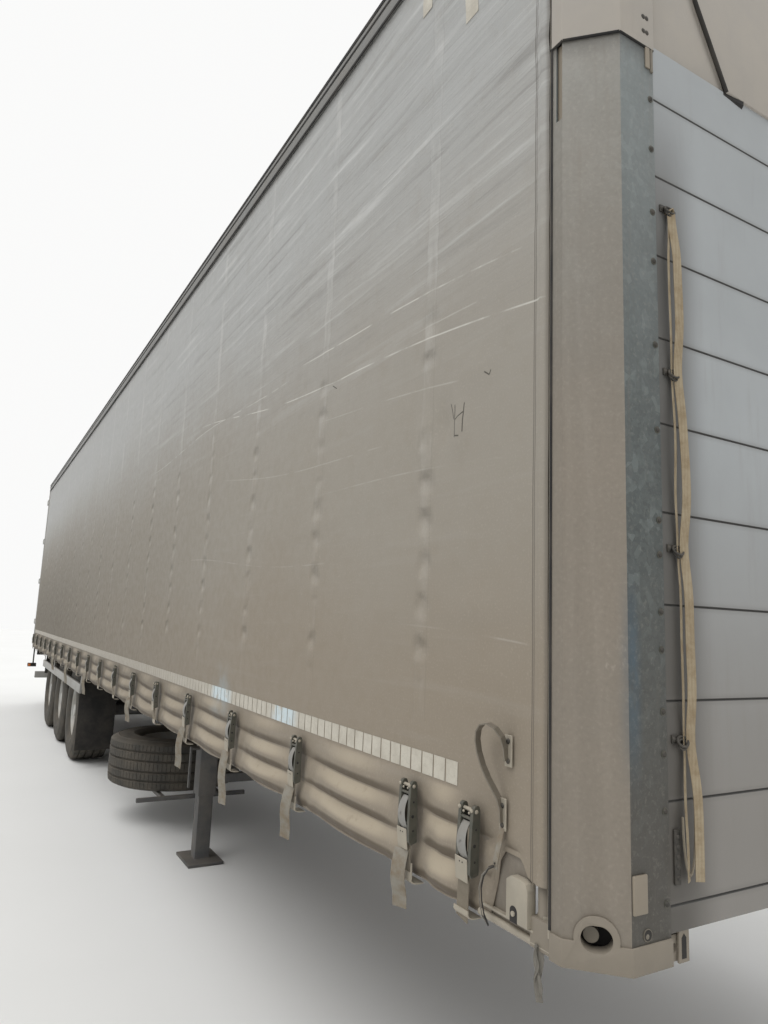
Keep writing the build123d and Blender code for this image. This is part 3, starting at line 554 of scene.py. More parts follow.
class CurtainSettings(bpy.types.PropertyGroup):
    upper: colour_property("Upper cloth", "Cloth under the roof rail", 164, 164, 162)
    middle: colour_property("Middle cloth", "Cloth at eye level", 147, 141, 131)
    lower: colour_property("Lower cloth", "Dusty cloth above the floor", 139, 129, 115)
    dust: colour_property("Dust", "Road dust on the skirt's folds", 174, 162, 142)
    wall: length_property("Cloth thickness", "Thickness of the coated cloth", 0.0022)
    columns: number_property("Columns", "Grid cells along the cloth", 380, IntProperty)
    rows: number_property("Rows", "Grid cells up the flat cloth", 72, IntProperty)
    skirt_rows: number_property("Skirt rows", "Grid cells up the skirt", 46, IntProperty)
    roll: length_property("Skirt roll", "How far a roll of the skirt stands out", 0.024)
    dent: length_property("Dent", "Depth of the small dents over the straps", 0.014)
    wrinkle: length_property("Wrinkle", "Height of the stretch wrinkles under the roof rail", 0.0042)


class TapeSettings(bpy.types.PropertyGroup):
    colour: colour_property("Tape", "Reflective tape under its dust", 188, 182, 168)
    stain: colour_property("Stain", "Pale blue rub mark", 190, 206, 212)
    size: length_property("Square", "Width of one square", 0.0500)
    pitch: length_property("Pitch", "Distance from square to square", 0.0556)
    low: length_property("Lower edge", "Height of the tape's lower edge", 1.252)
    high: length_property("Upper edge", "Height of the tape's upper edge", 1.309)


class FittingSettings(bpy.types.PropertyGroup):
    steel: colour_property("Buckle steel", "Dull plated steel", 74, 75, 67)
    pale: colour_property("Pale steel", "Bright plated steel under dust", 152, 145, 131)
    webbing: colour_property("Webbing", "Woven strap", 132, 124, 110)
    lashing: colour_property("Lashing strap", "Yellowed lashing strap", 162, 149, 126)


class BodySettings(bpy.types.PropertyGroup):
    zinc: colour_property("Zinc", "Galvanised sheet", 68, 73, 72)
    zinc_light: colour_property("Zinc flake", "Lighter spangles", 100, 106, 104)
    dust: colour_property("Dust", "Road dust on the metal", 130, 121, 109)
    planks: colour_property("Planks", "Grey boards of the front wall", 158, 161, 162)
    casting: colour_property("Casting", "Dusty corner casting", 120, 112, 100)
    alloy: colour_property("Alloy", "Roof rails and frames", 150, 149, 145)
    paint: colour_property("Chassis paint", "Frame under the floor", 66, 67, 68)
    doors: colour_property("Doors", "Rear door panels", 186, 186, 182)


class WheelSettings(bpy.types.PropertyGroup):
    tyre: colour_property("Tyre", "Dusty tyre rubber", 58, 57, 54)
    rim: colour_property("Rim", "Silver wheel paint", 168, 168, 165)
    steps: number_property("Steps", "Faces round a tyre", 100, IntProperty)


class StageSettings(bpy.types.PropertyGroup):
    camera: FloatVectorProperty(
        name="Camera", description="Camera place beside the front corner", default=(7.846, -2.374, 1.644),
        subtype="TRANSLATION", unit="LENGTH",
    )
    yaw: angle_property("Yaw", "Heading of the view", 150.242)
    pitch: angle_property("Pitch", "Tilt of the view", 8.935)
    roll: angle_property("Roll", "Lean of the view", 2.271)
    lens: number_property("Lens", "Focal length in millimetres", 25.09)
    floor: colour_property("Floor", "Pale floor", 226, 225, 222)
    horizon: number_property("Horizon", "Strength of the sky near the ground", 0.38)
    zenith: number_property("Zenith", "Strength of the sky overhead", 1.35)
    key: number_property("Key", "Strength of the soft lamp", 1.1)


def cloth_finish(settings):
    """Coated cloth: greyer at the top, browner low down, with welded bands, scratches and dust, painted
    highlight and shade on the wrinkles, dents, skirt folds and pole pocket, and painted shade further back.
    """
    f = Finish("coated_cloth")
    facing = f.facing()[2]
    behind = FRONT - f.x
    streak = f.noise(1.0, 6.0, 0.6, stretch=(1.1, 1.0, 22.0), distortion=0.3)
    height = f.z + (f.noise(1.1, 5.0, 0.6) - 0.5) * 0.7
    f.colour = f.mix(height.step(1.35, 2.15), settings.lower, settings.middle)
    f.lay(height.step(2.1, 3.5), settings.upper)
    high = f.z.step(2.3, 3.2) * behind.step(7.0, 1.0)
    # Painted highlight and painted shade: pale and dark streaks along the wrinkles near the top.
    f.lay(streak.step(0.52, 0.74) * (high * 0.5 + 0.04), (202, 202, 199))
    f.lay(streak.step(0.46, 0.28) * (high * 0.5 + 0.03), (124, 122, 118))
    f.lay(f.noise(160.0, 3.0, 0.6).step(0.5, 0.8) * 0.16, (196, 188, 172))
    f.lay(f.noise(11.0, 5.0, 0.7).step(0.5, 0.72) * 0.12, (132, 122, 106))
    # Painted shade: the cloth darker further behind the front, most of all low down.
    far = behind.step(0.8, 4.5)
    f.lay(far * f.z.step(3.4, 1.9) * 0.45, (112, 105, 93))
    f.lay(behind.step(2.5, 11.0) * f.z.step(3.4, 1.3) * 0.75, (88, 81, 68))
    band = (behind - BUCKLE_FIRST[1] + BUCKLE_PITCH / 2) % BUCKLE_PITCH - BUCKLE_PITCH / 2
    weld = abs(band).step(0.03, 0.026) * f.z.step(1.36, 1.4)
    weld_line = abs(abs(band) - 0.028).step(0.003, 0.001) * f.z.step(1.36, 1.4)
    worn = f.noise(3.0, 5.0, 0.6, stretch=(6.0, 1.0, 1.6)).step(0.42, 0.66)
    f.lay(weld * worn * (f.z.step(1.8, 3.2) * 0.2 + 0.05), (202, 200, 196))
    f.lay(weld_line * 0.10, (110, 104, 96))
    # Painted shade in dark lines on both sides of the pole pocket at the cloth's front edge.
    shade_lines_behind_pocket = [abs(behind - CLOTH_FRONT - back).step(0.002, 0.0006) for back in (0.045, 0.051)]
    pocket_shade_lines = shade_lines_behind_pocket[0] + shade_lines_behind_pocket[1]
    f.lay(pocket_shade_lines * 0.7, (88, 83, 76))
    f.lay(behind.step(CLOTH_FRONT + 0.012, CLOTH_FRONT + 0.002) * 0.5, (98, 92, 84))
    wave = (behind * 2.6).sine() * 0.02
    broken = f.noise(5.0, 4.0, 0.6).step(0.38, 0.55)
    for level, climb, first, last, strength in SCRATCHES:
        path = abs(f.z - (behind - first) * climb - level - wave)
        drawn = path.step(0.0036, 0.0008) * behind.step(first, first + 0.05) * behind.step(last, last - 0.5)
        f.lay(drawn * broken * strength, (212, 209, 201))
    tears = f.stroke(behind, f.z, (0.523, 2.254), (0.520, 2.161), 0.0035)
    for start, end in TEARS:
        tears = tears.most(f.stroke(behind, f.z, start, end, 0.0028))
    right = f.y.step(0.0, -0.1)
    f.lay(tears * right * 0.85, (62, 58, 52))
    blue = behind.near(2.42, 0.20) * f.z.near(1.27, 0.20) * right
    f.lay(blue * f.noise(7.0, 4.0, 0.6).step(0.35, 0.6) * 0.55, (150, 162, 166))
    skirt = f.z.step(1.27, 1.235)
    # Painted shade on the skirt further behind the front.
    f.lay(far * skirt * 0.35, (100, 91, 78))
    f.lay(facing.step(0.06, 0.42) * skirt * (0.72 - far * 0.3), settings.dust)
    # Painted shade on the skirt's downward-facing folds.
    f.lay(facing.step(-0.04, -0.30) * skirt * 0.72, (84, 75, 64))
    splash = f.noise(26.0, 4.0, 0.65).step(0.56, 0.7) * f.z.step(1.6, 1.0)
    f.lay(splash * 0.25, (120, 108, 92))
    weave = f.x.ripple(0.0028) * f.z.ripple(0.0028)
    sway, rise = (f.noise(5.0) - 0.5) * 0.05, (f.noise(7.0) - 0.5) * 0.06
    shown = f.z.step(1.42, 1.60) * f.z.step(2.80, 2.40)
    shown = shown * f.noise(2.3, 2.0, stretch=(1.0, 1.0, 2.0)).step(0.34, 0.55)
    shown = shown * abs(band + sway).step(0.055, 0.0)

    def dents(lift):
        """Small dents where the cloth lies over a strap, moved up by a lift."""
        level = (f.z - lift - DENT_LOW) % DENT_PITCH - DENT_PITCH / 2
        return abs(level + rise).step(0.046, 0.0) * shown

    # Painted shade on the upper side of each dent and a painted highlight on its lower side.
    f.lay(dents(0.020) * 0.11, (98, 92, 83))
    f.lay(dents(-0.022) * 0.10, (196, 190, 178))
    normal = f.bump(weave, 0.00006, 0.5)
    normal = f.bump(1.0 - dents(0.0), settings.dent, 1.0, normal)
    normal = f.bump(streak * (high + 0.12), 0.010, 0.7, normal)
    normal = f.bump(weld * 0.5 + pocket_shade_lines, 0.0007, 0.9, normal)
    normal = f.bump(f.noise(9.0, 4.0, 0.55), 0.0022, 0.6, normal)
    roughness = 0.50 + f.noise(24.0, 3.0).step(0.3, 0.8) * 0.16
    return f.done(roughness, normal, specular=0.13)


def tape_finish(settings):
    """Reflective tape with a small prism pattern, dulled by dust, and darker further back as painted shade.
    """
    f = Finish("reflective_tape")
    behind = FRONT - f.x
    prism = f.cell_edges(210.0, 0.1)
    dirt = f.noise(16.0, 5.0, 0.65)
    f.colour = f.mix(dirt.step(0.35, 0.7) * 0.55, settings.colour, (158, 150, 135))
    # Painted shade: the tape darker further behind the front.
    f.lay(behind.step(0.9, 5.0) * 0.9, (141, 132, 116))
    f.lay(f.cell_edges(48.0).step(0.035, 0.0) * 0.3, (142, 134, 120))
    f.lay(prism.step(0.05, 0.0) * 0.3, (156, 151, 141))
    blue = behind.near(1.62, 0.18).most(behind.near(2.42, 0.22)) * f.y.step(0.0, -0.1)
    f.lay(blue.step(0.0, 0.7) * f.noise(14.0).step(0.35, 0.55) * 0.85, settings.stain)
    f.lay(f.noise(60.0, 3.0, 0.7).step(0.66, 0.72) * 0.6, (140, 130, 114))
    return f.done(0.34 + dirt * 0.25, f.bump(prism, 0.0004, 0.5), coat=0.15, coat_roughness=0.3)


def webbing_finish(name, base, dark):
    """Woven strap with lengthwise ribs, grey where hands and grit have rubbed it."""
    f = Finish(name)
    rib = f.x.ripple(0.0032) * 0.5 + f.z.ripple(0.0026) * 0.5
    dirt = f.noise(30.0, 5.0, 0.65)
    f.colour = f.mix(dirt.step(0.35, 0.75) * 0.7, base, dark)
    f.lay(rib.step(0.2, -0.6) * 0.35, dark)
    return f.done(0.85, f.bump(rib, 0.0006, 0.8), specular=0.25)


def zinc_finish(settings):
    """Galvanised sheet: spangles where it is clean, road dust on the flanks and low down on them, painted
    shade low on the front face and painted shadow under the cap.
    """
    f = Finish("galvanised_sheet")
    across, upward = f.facing()[1:]
    flake = f.cells(52.0, stretch=(1.0, 1.0, 0.75))
    shown = f.noise(9.0, 4.0, 0.7).step(0.42, 0.60)
    f.colour = f.mix(f.cells(95.0) * 0.35, settings.zinc, settings.zinc_light)
    f.lay(flake.step(0.62, 0.70) * shown * 0.85, settings.zinc_light)
    f.lay(f.noise(4.5, 5.0, 0.6).step(0.4, 0.75) * 0.5, (90, 97, 97))
    flank = abs(across).step(0.25, 0.6)
    high = f.z.step(1.9, 3.0)
    # Painted shade: the front face lighter near the top and darker low down.
    f.lay(high * (1.0 - flank) * 0.45, (140, 146, 145))
    f.lay(flank * high * 0.55, (148, 148, 142))
    # Road dust on the flanks, and painted shade low on the front face.
    dust_and_shade = (flank * (0.95 - high * 0.55)).most(f.z.step(2.0, 1.05) * 0.85)
    dust_and_shade = dust_and_shade + (f.noise(2.6, 5.0, 0.65) - 0.5) * 0.35
    f.lay(dust_and_shade, f.mix(flank, (74, 69, 62), settings.dust))
    f.lay(upward.step(0.4, 0.9) * 0.6, (170, 160, 143))
    drips = f.noise(3.0, 5.0, 0.7, stretch=(14.0, 14.0, 0.7)).step(0.52, 0.72)
    f.lay(drips * 0.2, (112, 103, 92))
    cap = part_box("front_caps")[0].z
    # Painted shadow in a band under the cap's lower edge.
    f.lay(f.z.step(cap - 0.07, cap + 0.01) * 0.6, (62, 60, 56))
    edge = abs(f.y + POST_SIDE - 0.108).step(0.034, 0.002) * f.x.step(FRONT - 0.06, FRONT - 0.01)
    blue = edge * f.z.near(1.56, 0.28) * f.noise(9.0, 4.0, 0.7, stretch=(1.0, 1.0, 0.5)).step(0.28, 0.55)
    f.lay(blue * 0.8, (66, 84, 96))
    mottle = f.noise(110.0, 3.0, 0.6)
    f.lay(mottle.step(0.5, 0.75) * 0.14, (166, 160, 148))
    f.lay(mottle.step(0.5, 0.25) * 0.18, (104, 97, 88))
    rubbed = f.noise(6.0, 5.0, 0.7, stretch=(2.0, 2.0, 1.0)).step(0.60, 0.72)
    f.lay(rubbed * f.z.near(1.55, 0.14) * flank * 0.6, (186, 178, 166))
    normal = f.bump(flake * 0.3 + mottle * 0.7, 0.0005, 0.7)
    return f.done(0.5 + f.noise(12.0) * 0.22, normal, metallic=0.1)


def dusty_metal(name, base, dust, amount, roughness, metallic, scale, rust):
    """Painted or bare metal under uneven dust, thicker on what faces up."""
    f = Finish(name)
    cloud = f.noise(scale, 6.0, 0.62)
    grit = f.noise(scale * 18, 3.0, 0.6)
    f.colour = f.mix(cloud.step(0.3, 0.75) * 0.5, base, mixed(base, dust, 0.35))
    cover = (f.facing()[2].step(0.1, 0.9) * 0.55 + cloud.step(0.25, 0.8) * 0.6) * amount
    f.lay(cover, dust)
    f.lay(grit.step(0.55, 0.8) * 0.3 * amount, mixed(dust, base, 0.3))
    if rust:
        f.lay(f.noise(scale * 3.5, 6.0, 0.7).step(0.6, 0.72) * rust, (112, 78, 54))
    drips = f.noise(3.0, 5.0, 0.7, stretch=(10.0, 10.0, 0.6)).step(0.55, 0.75)
    f.lay(drips * 0.2 * amount, mixed(dust, (0.02, 0.02, 0.02, 1), 0.45))
    return f.done(roughness + cloud * 0.2, f.bump(grit, 0.0003, 0.5), metallic=metallic)


def plank_finish(settings):
    """Grey coated boards, streaked downwards, browner near the floor and with painted shade next to the
    posts.
    """
    f = Finish("front_boards")
    streak = f.noise(2.2, 6.0, 0.65, stretch=(9.0, 9.0, 0.9))
    cloud = f.noise(2.4, 5.0, 0.6)
    f.colour = f.mix(cloud.step(0.3, 0.75) * 0.4, settings.planks, (140, 143, 144))
    f.lay(streak.step(0.5, 0.75) * 0.25, (126, 122, 115))
    f.lay(f.z.step(2.2, 1.2) * 0.7, (112, 103, 92))
    # Painted shade on the boards next to the posts.
    f.lay(abs(f.y).step(0.88, 1.03) * f.z.step(3.1, 2.5) * 0.85, (70, 66, 60))
    joint = abs((f.z - PLANK_JOINT + PLANK_PITCH / 2) % PLANK_PITCH - PLANK_PITCH / 2)
    f.lay(joint.step(0.0034, 0.0022), (40, 39, 38))
    f.lay(joint.step(0.016, 0.003) * 0.25, (96, 93, 88))
    return f.done(0.5 + cloud * 0.15, f.bump(f.noise(60.0, 3.0), 0.0003, 0.4))


def deck_finish():
    """Coated plywood floor with a wire pattern."""
    f = Finish("coated_plywood")
    mesh = f.x.ripple(0.006) * f.y.ripple(0.006)
    wear = f.noise(3.0, 6.0, 0.65)
    f.colour = f.mix(wear.step(0.35, 0.7), (84, 64, 48), (128, 104, 80))
    return f.done(0.6 + wear * 0.2, f.bump(mesh, 0.0005, 0.7))


def board_finish():
    """Planed side laths, with long grain."""
    f = Finish("planed_board")
    grain = f.noise(3.0, 7.0, 0.6, stretch=(1.0, 12.0, 14.0), distortion=1.2)
    f.colour = f.mix(grain.step(0.3, 0.7), (168, 136, 94), (120, 90, 58))
    return f.done(0.6 + grain * 0.2, f.bump(grain, 0.001, 0.6))


def rubber_finish(name, base, dust, amount):
    """Dull rubber or plastic, grey with dust where it was not wiped."""
    f = Finish(name)
    cloud = f.noise(7.0, 6.0, 0.62)
    cover = cloud.step(0.3, 0.8) * 0.7 + f.facing()[2].step(0.2, 0.9) * 0.4
    f.colour = f.mix(cover * amount, base, dust)
    f.lay(f.z.step(1.3, 0.2) * cloud * 0.35 * amount, dust)
    return f.done(0.72 + cloud * 0.18, f.bump(f.noise(180.0, 3.0), 0.0003, 0.6), specular=0.3)


def lens_finish(name, colour):
    """Moulded lamp lens with fine ribs under a gloss coat."""
    f = Finish(name)
    ribs = f.y.ripple(0.006) * 0.5 + f.z.ripple(0.006) * 0.5
    dirt = f.noise(14.0, 5.0, 0.6)
    f.colour = colour
    f.lay(dirt.step(0.4, 0.8) * 0.4, (120, 108, 94))
    return f.done(0.16 + dirt * 0.3, f.bump(ribs, 0.0006, 0.7), coat=0.5, coat_roughness=0.08)


def roof_finish():
    """Pale roof cloth, greyed in clouds."""
    f = Finish("roof_cloth")
    cloud = f.noise(1.6, 6.0, 0.6)
    f.colour = f.mix(cloud.step(0.35, 0.75) * 0.6, (206, 206, 202), (168, 164, 154))
    weave = f.x.ripple(0.003) * f.y.ripple(0.003)
    return f.done(0.6 + cloud * 0.15, f.bump(weave, 0.0001, 0.5))


finishes = {}


def make_finishes(scene):
    """Every finish, by the name that the pieces use, kept with a slot name that the pieces don't use."""
    body, fittings, wheels = scene.trailer_body, scene.trailer_fittings, scene.trailer_wheels
    dust = body.dust
    finishes.update(
        cloth=("curtain", cloth_finish(scene.trailer_curtain)),
        tape=("curtain", tape_finish(scene.trailer_tape)),
        roof=("curtain", roof_finish()),
        zinc=("galvanised", zinc_finish(body)),
        planks=("planks", plank_finish(body)),
        deck=("deck", deck_finish()),
        lath=("lath", board_finish()),
    )
    # Metals: key, slot, name, base, dust, amount, roughness, metallic, scale, rust
    for key, slot, *values in (
        ("cap", "galvanised", "cap_sheet", (160, 154, 146), (172, 164, 153), 0.6, 0.6, 0.0, 9.0, 0.0),
        # The marker plate's colours are darkened as painted shade.
        ("pad", "galvanised", "marker_plate", (136, 126, 111), (122, 112, 98), 0.5, 0.5, 0.0, 6.0, 0.0),
        ("casting", "galvanised", "corner_casting", body.casting, (142, 133, 119), 0.6, 0.62, 0.0, 6.0, 0.0),
        ("rail", "aluminium", "roof_rail_alloy", (122, 122, 120), dust, 0.3, 0.45, 0.2, 6.0, 0.0),
        ("alloy", "aluminium", "dusty_alloy", body.alloy, dust, 0.5, 0.42, 0.25, 6.0, 0.0),
        ("chassis", "chassis", "chassis_paint", body.paint, dust, 0.42, 0.5, 0.0, 6.0, 0.12),
        ("doors", "door", "door_panels", body.doors, dust, 0.35, 0.4, 0.0, 2.5, 0.0),
        ("steel", "steel", "plated_steel", fittings.steel, dust, 0.22, 0.42, 0.3, 30.0, 0.25),
        ("lever", "steel", "lever_steel", (136, 135, 131), dust, 0.4, 0.5, 0.1, 24.0, 0.0),
        ("dull", "steel", "dull_steel", (112, 106, 94), dust, 0.5, 0.55, 0.1, 20.0, 0.1),
        ("dark", "steel", "dark_steel", (50, 49, 46), dust, 0.2, 0.5, 0.4, 40.0, 0.12),
        ("pale", "steel", "pale_steel", fittings.pale, (172, 162, 145), 0.6, 0.55, 0.1, 30.0, 0.0),
        ("rim", "rim", "rim_paint", wheels.rim, (150, 140, 122), 0.55, 0.4, 0.2, 9.0, 0.15),
    ):
        finishes[key] = slot, dusty_metal(*values)
    # Rubbers: key, slot, name, base, dust, amount
    for key, slot, *values in (
        ("tyre", "tyre", "tyre_rubber", wheels.tyre, (116, 107, 94), 0.55),
        ("rubber", "rubber", "black_rubber", (30, 30, 30), dust, 0.2),
        ("guard", "guard", "moulded_guard", (40, 41, 42), (112, 104, 92), 0.4),
        ("black", "rubber", "black_trim", (34, 34, 35), dust, 0.25),
    ):
        finishes[key] = slot, rubber_finish(*values)
    # Straps: key, name, base, dark
    for key, *values in (
        ("webbing", "strap_webbing", fittings.webbing, (116, 106, 92)),
        ("lashing", "lashing_webbing", fittings.lashing, (128, 110, 84)),
        ("tail", "strap_tail", (146, 143, 134), (122, 104, 80)),
        ("strand", "frayed_strand", (128, 124, 116), (92, 88, 80)),
    ):
        finishes[key] = "webbing", webbing_finish(*values)
    for key, colour in (("red", (150, 24, 18)), ("amber", (206, 110, 24)), ("clear", (206, 206, 200))):
        finishes[key] = "lamp", lens_finish(f"{key}_lens", colour)


def bay(behind):
    """0 at a buckle and 1 halfway between two of them."""
    for ahead, after in zip(BUCKLES, BUCKLES[1:]):
        if ahead <= behind <= after:
            return math.sin(math.pi * (behind - ahead) / (after - ahead)) ** 2
    near = BUCKLES[0] - behind if behind < BUCKLES[0] else behind - BUCKLES[-1]
    return math.sin(min(near / BUCKLE_PITCH, 0.5) * math.pi) ** 2


def low_edge(behind):
    """Height of the cloth's lower edge, cut away at the front corner."""
    corner = 1.112 + 0.036 * smooth(behind, 0.203, 0.235)
    hem = HEM - 0.008 * bay(behind) + 0.004 * noise.noise(Vector((behind * 3.0, 7.0, 0.0)))
    return corner + (hem - corner) * smooth(behind, 0.288, 0.345)


def skirt_relief(settings, behind, height, seed):
    """Three rolls that hang between the buckles, each fuller than the one above and tucked in under."""
    depth = (ROLL_TOP - height) / (ROLL_TOP - HEM)
    between = bay(behind)
    begun = smooth(behind, 0.17, 0.36)
    drift = 0.12 * noise.noise(Vector((behind * 1.7, seed + 30.0, 0.0))) * smooth(depth, 0.0, 0.2)
    phase = min(depth * ROLLS + drift, ROLLS - 0.02)
    part = phase % 1.0
    roll = math.sin(math.pi * part ** 1.35) ** 0.8
    fullness = 0.22 + 0.70 * between + 0.22 * noise.noise(Vector((behind * 2.3, seed + 50.0, depth * 2.0)))
    out = settings.roll * roll * fullness * (0.45 + 0.75 * depth) * begun
    out -= 0.007 * (1 - between) * smooth(depth, 0.0, 0.3) * begun
    near = min(abs(behind - place) for place in BUCKLES)
    pleat = bell(near, 0.15) * math.sin(near * 62.0 + depth * 8.0) * 0.0028
    return out + pleat * smooth(depth, 0.15, 0.5) * begun


def relief(settings, behind, height, side):
    """How far the cloth stands out from its plane at a distance behind the front and a height."""
    seed = 3.0 if side > 0 else 0.0
    out = 0.005 * noise.noise(Vector((behind * 0.55, seed, height * 0.7)))
    lean = height - 0.07 * behind
    rough = noise.noise(Vector((behind * 0.75, seed + 5.0, lean * 13.0)))
    fine = noise.noise(Vector((behind * 1.6, seed + 9.0, lean * 30.0)))
    high = smooth(height, 2.35, 3.1) * (1 - 0.75 * smooth(behind, 1.0, 5.0))
    out += settings.wrinkle * high * (rough * 1.5 + fine * 0.6)
    low = (1 - smooth(height, 1.9, 2.4)) * smooth(height, 1.33, 1.45)
    out += 0.0022 * low * noise.noise(Vector((behind * 2.2, seed + 2.0, height * 5.0)))
    column = max(round((behind - BUCKLE_FIRST[1]) / BUCKLE_PITCH), 0)
    strap = BUCKLE_FIRST[1] + column * BUCKLE_PITCH
    out += 0.002 * bell(behind - strap, 0.030) * smooth(height, 1.36, 1.6)
    if side < 0:
        for near, level, wide, tall, rise in (
            (0.585, 2.205, 0.050, 0.055, -0.013),
            (0.665, 2.190, 0.045, 0.050, 0.010),
            (0.500, 2.190, 0.030, 0.060, 0.008),
            (0.430, 2.330, 0.060, 0.030, 0.005),
            (1.380, 2.000, 0.200, 0.025, 0.004),
            (1.300, 2.520, 0.100, 0.050, -0.006),
            (0.420, 1.700, 0.100, 0.035, 0.004),
        ):
            out += rise * bell(behind - near, wide) * bell(height - level, tall)
        out += 0.004 * bell(height - 1.535 - 0.12 * (behind - 0.3), 0.012) * bell(behind - 0.32, 0.12)
    if height < ROLL_TOP:
        out += skirt_relief(settings, behind, height, seed)
    out += 0.009 * bell(behind - CLOTH_FRONT - 0.020, 0.014)
    rail = 1 - 0.85 * smooth(height, RAIL_LOW - 0.12, RAIL_LOW)
    return max(out * rail, -0.014)


def on_cloth(settings, behind, height, side, lift=0.0):
    """A point on the hung cloth, or lifted off it."""
    return spot(behind, side, CLOTH_PLANE + relief(settings, behind, height, side) + lift, height)


class Making:
    """What the operators share: each makes its pieces from the scene's settings."""

    def execute(self, context):
        self.make(context.scene)
        return {"FINISHED"}


class TRAILER_OT_curtains(Making, bpy.types.Operator):
    """Hang the side curtains: one stretched sheet of coated cloth a side, rolled at its skirt"""
    bl_idname = "trailer.curtains"
    bl_label = "Curtains"

    def make(self, scene):
        settings = scene.trailer_curtain
        run = CLOTH_REAR - CLOTH_FRONT
        rows = settings.rows + settings.skirt_rows
        skirt = settings.skirt_rows / rows
        for name, side in SIDES.items():
            def hang(along, up):
                behind = CLOTH_FRONT + run * (CELL_START * along + (1 - CELL_START) * along * along)
                low = low_edge(behind)
                top = max(ROLL_TOP, low + 0.02)
                height = low + (top - low) * up / skirt
                if up > skirt:
                    height = top + (CLOTH_TOP - top) * (up - skirt) / (1 - skirt)
                return on_cloth(settings, behind, height, side)

            shape = Shape()
            shape.grid(settings.columns, rows, hang)
            cloth = shape.sheet(
                f"curtain_cloth_{name}", "cloth", side * Y_AXIS, settings.wall, [f"curtain_{name}"]
            )


class TRAILER_OT_tape(Making, bpy.types.Operator):
    """Stick the row of reflective squares above each skirt"""
    bl_idname = "trailer.tape"
    bl_label = "Reflective tape"

    def make(self, scene):
        settings = scene.trailer_tape
        for name, side in SIDES.items():
            shape = Shape()

            def patch(near, far, low, high, cells, lift):
                """A patch that follows the cloth, between two distances and two heights."""
                shape.grid(*cells, lambda along, up: on_cloth(
                    scene.trailer_curtain, near + along * (far - near), low + up * (high - low), side, lift
                ))

            behind = TAPE_START
            while behind + settings.size < CLOTH_REAR - 0.05:
                patch(behind, behind + settings.size, settings.low, settings.high, (2, 2), 0.0012)
                behind += settings.pitch
            if side < 0:
                # Two pale patches high on the right cloth
                patch(0.700, 0.755, 3.66, 3.84, (3, 9), 0.0016)
                patch(0.455, 0.515, 3.45, 3.84, (3, 9), 0.0016)
            shape.sheet(f"reflective_tape_{name}", "tape", side * Y_AXIS, 0.0004, crease=35)


def side_matrix(behind, side, out, height):
    """A place on the trailer's side: x runs forwards, y outwards and z up."""
    return Matrix.Translation(spot(behind, side, out, height)) @ Matrix.Diagonal((1, side, 1, 1))


def buckle_frame_mesh():
    """The two channels of a buckle and the pins across them."""
    shape = Shape()
    upright = Matrix(((0, 0, 1, 0), (1, 0, 0, 0), (0, 1, 0, 0), (0, 0, 0, 1)))
    for way, low in ((1, 0.010), (-1, 0.040)):
        outline = [
            (0.001, low + 0.006), (0.020, low), (0.027, low + 0.010), (0.0275, 0.075), (0.025, 0.120),
            (0.023, 0.158), (0.019, 0.169), (0.012, 0.172), (0.005, 0.170), (0.001, 0.160),
        ]
        place = Matrix.Translation((way * 0.0235 - 0.0055, 0, 0)) @ upright
        shape.eased(shape.prism(outline, place, 0.011), 0.0009, 1)
    for level, out in ((0.140, 0.019), (0.060, 0.018)):
        shape.rod((-0.020, out, level), (0.020, out, level), 0.0040, 8)
    return shape.mesh("buckle_frame")


def buckle_holes_mesh():
    """Black domes as painted shade in the holes down the buckle's front channel and in its foot plate, and a
    black block as painted shade behind the lever's top.
    """
    shape = Shape()
    for out, level, radius in ((0.013, 0.118, 0.0030), (0.016, 0.082, 0.0046), (0.014, 0.046, 0.0032)):
        shape.dome((0.0289, out, level), X_AXIS, radius, 0.0009, 10, 4)
    for across in (-0.010, 0.001):
        shape.dome((across, 0.0292, 0.040), Y_AXIS, 0.0020, 0.0008, 8, 4)
    shape.block((-0.017, 0.003, 0.122), (0.017, 0.006, 0.150))
    return shape.mesh("buckle_holes")


def buckle_lever_mesh():
    """The crowned lever between a buckle's channels."""
    shape = Shape()
    made = bmesh.ops.create_grid(shape.bm, x_segments=6, y_segments=9, size=0.5)["verts"]
    for corner in made:
        across, up = corner.co.x * 2, corner.co.y + 0.5
        width = 0.0178 * (0.80 + 0.20 * math.sin(math.pi * min(up + 0.15, 1.0)))
        bulge = math.sin(math.pi * min(up * 0.92 + 0.04, 1.0)) ** 0.7
        out = 0.014 + 0.021 * bulge - 0.003 * across * across
        corner.co = (across * width - 0.003, out, 0.044 + 0.088 * up)
    bmesh.ops.solidify(shape.bm, geom=shape.bm.faces[:], thickness=0.0022)
    return shape.mesh("buckle_lever", crease=50)


def keeper_mesh():
    """The pale plate at a buckle's foot that the webbing runs under, and the screws at the top."""
    shape = Shape()
    place = Matrix.Translation((-0.005, 0.0265, 0.026)) @ Matrix.Rotation(math.radians(-5), 4, "X")
    made = shape.block((-0.0240, -0.0012, -0.029), (0.0230, 0.0012, 0.024), 0.0008, 1)
    made += shape.block((-0.0240, -0.014, 0.014), (-0.0218, 0.0012, 0.024), 0.0006, 1)
    bmesh.ops.transform(shape.bm, matrix=place, verts=list(set(made)))
    shape.rod((-0.024, 0.013, 0.158), (0.024, 0.013, 0.158), 0.0045, 8)
    for way in (1, -1):
        shape.dome((way * 0.0235, 0.024, 0.160), Y_AXIS, 0.0050, 0.0034, 10, 6)
        shape.dome((way * 0.0292, 0.013, 0.158), X_AXIS, 0.0052, 0.0024, 10, 6)
        shape.dome((way * 0.0110, 0.021, 0.152), Y_AXIS, 0.0034, 0.0028, 8, 6)
    return shape.mesh("buckle_keeper")


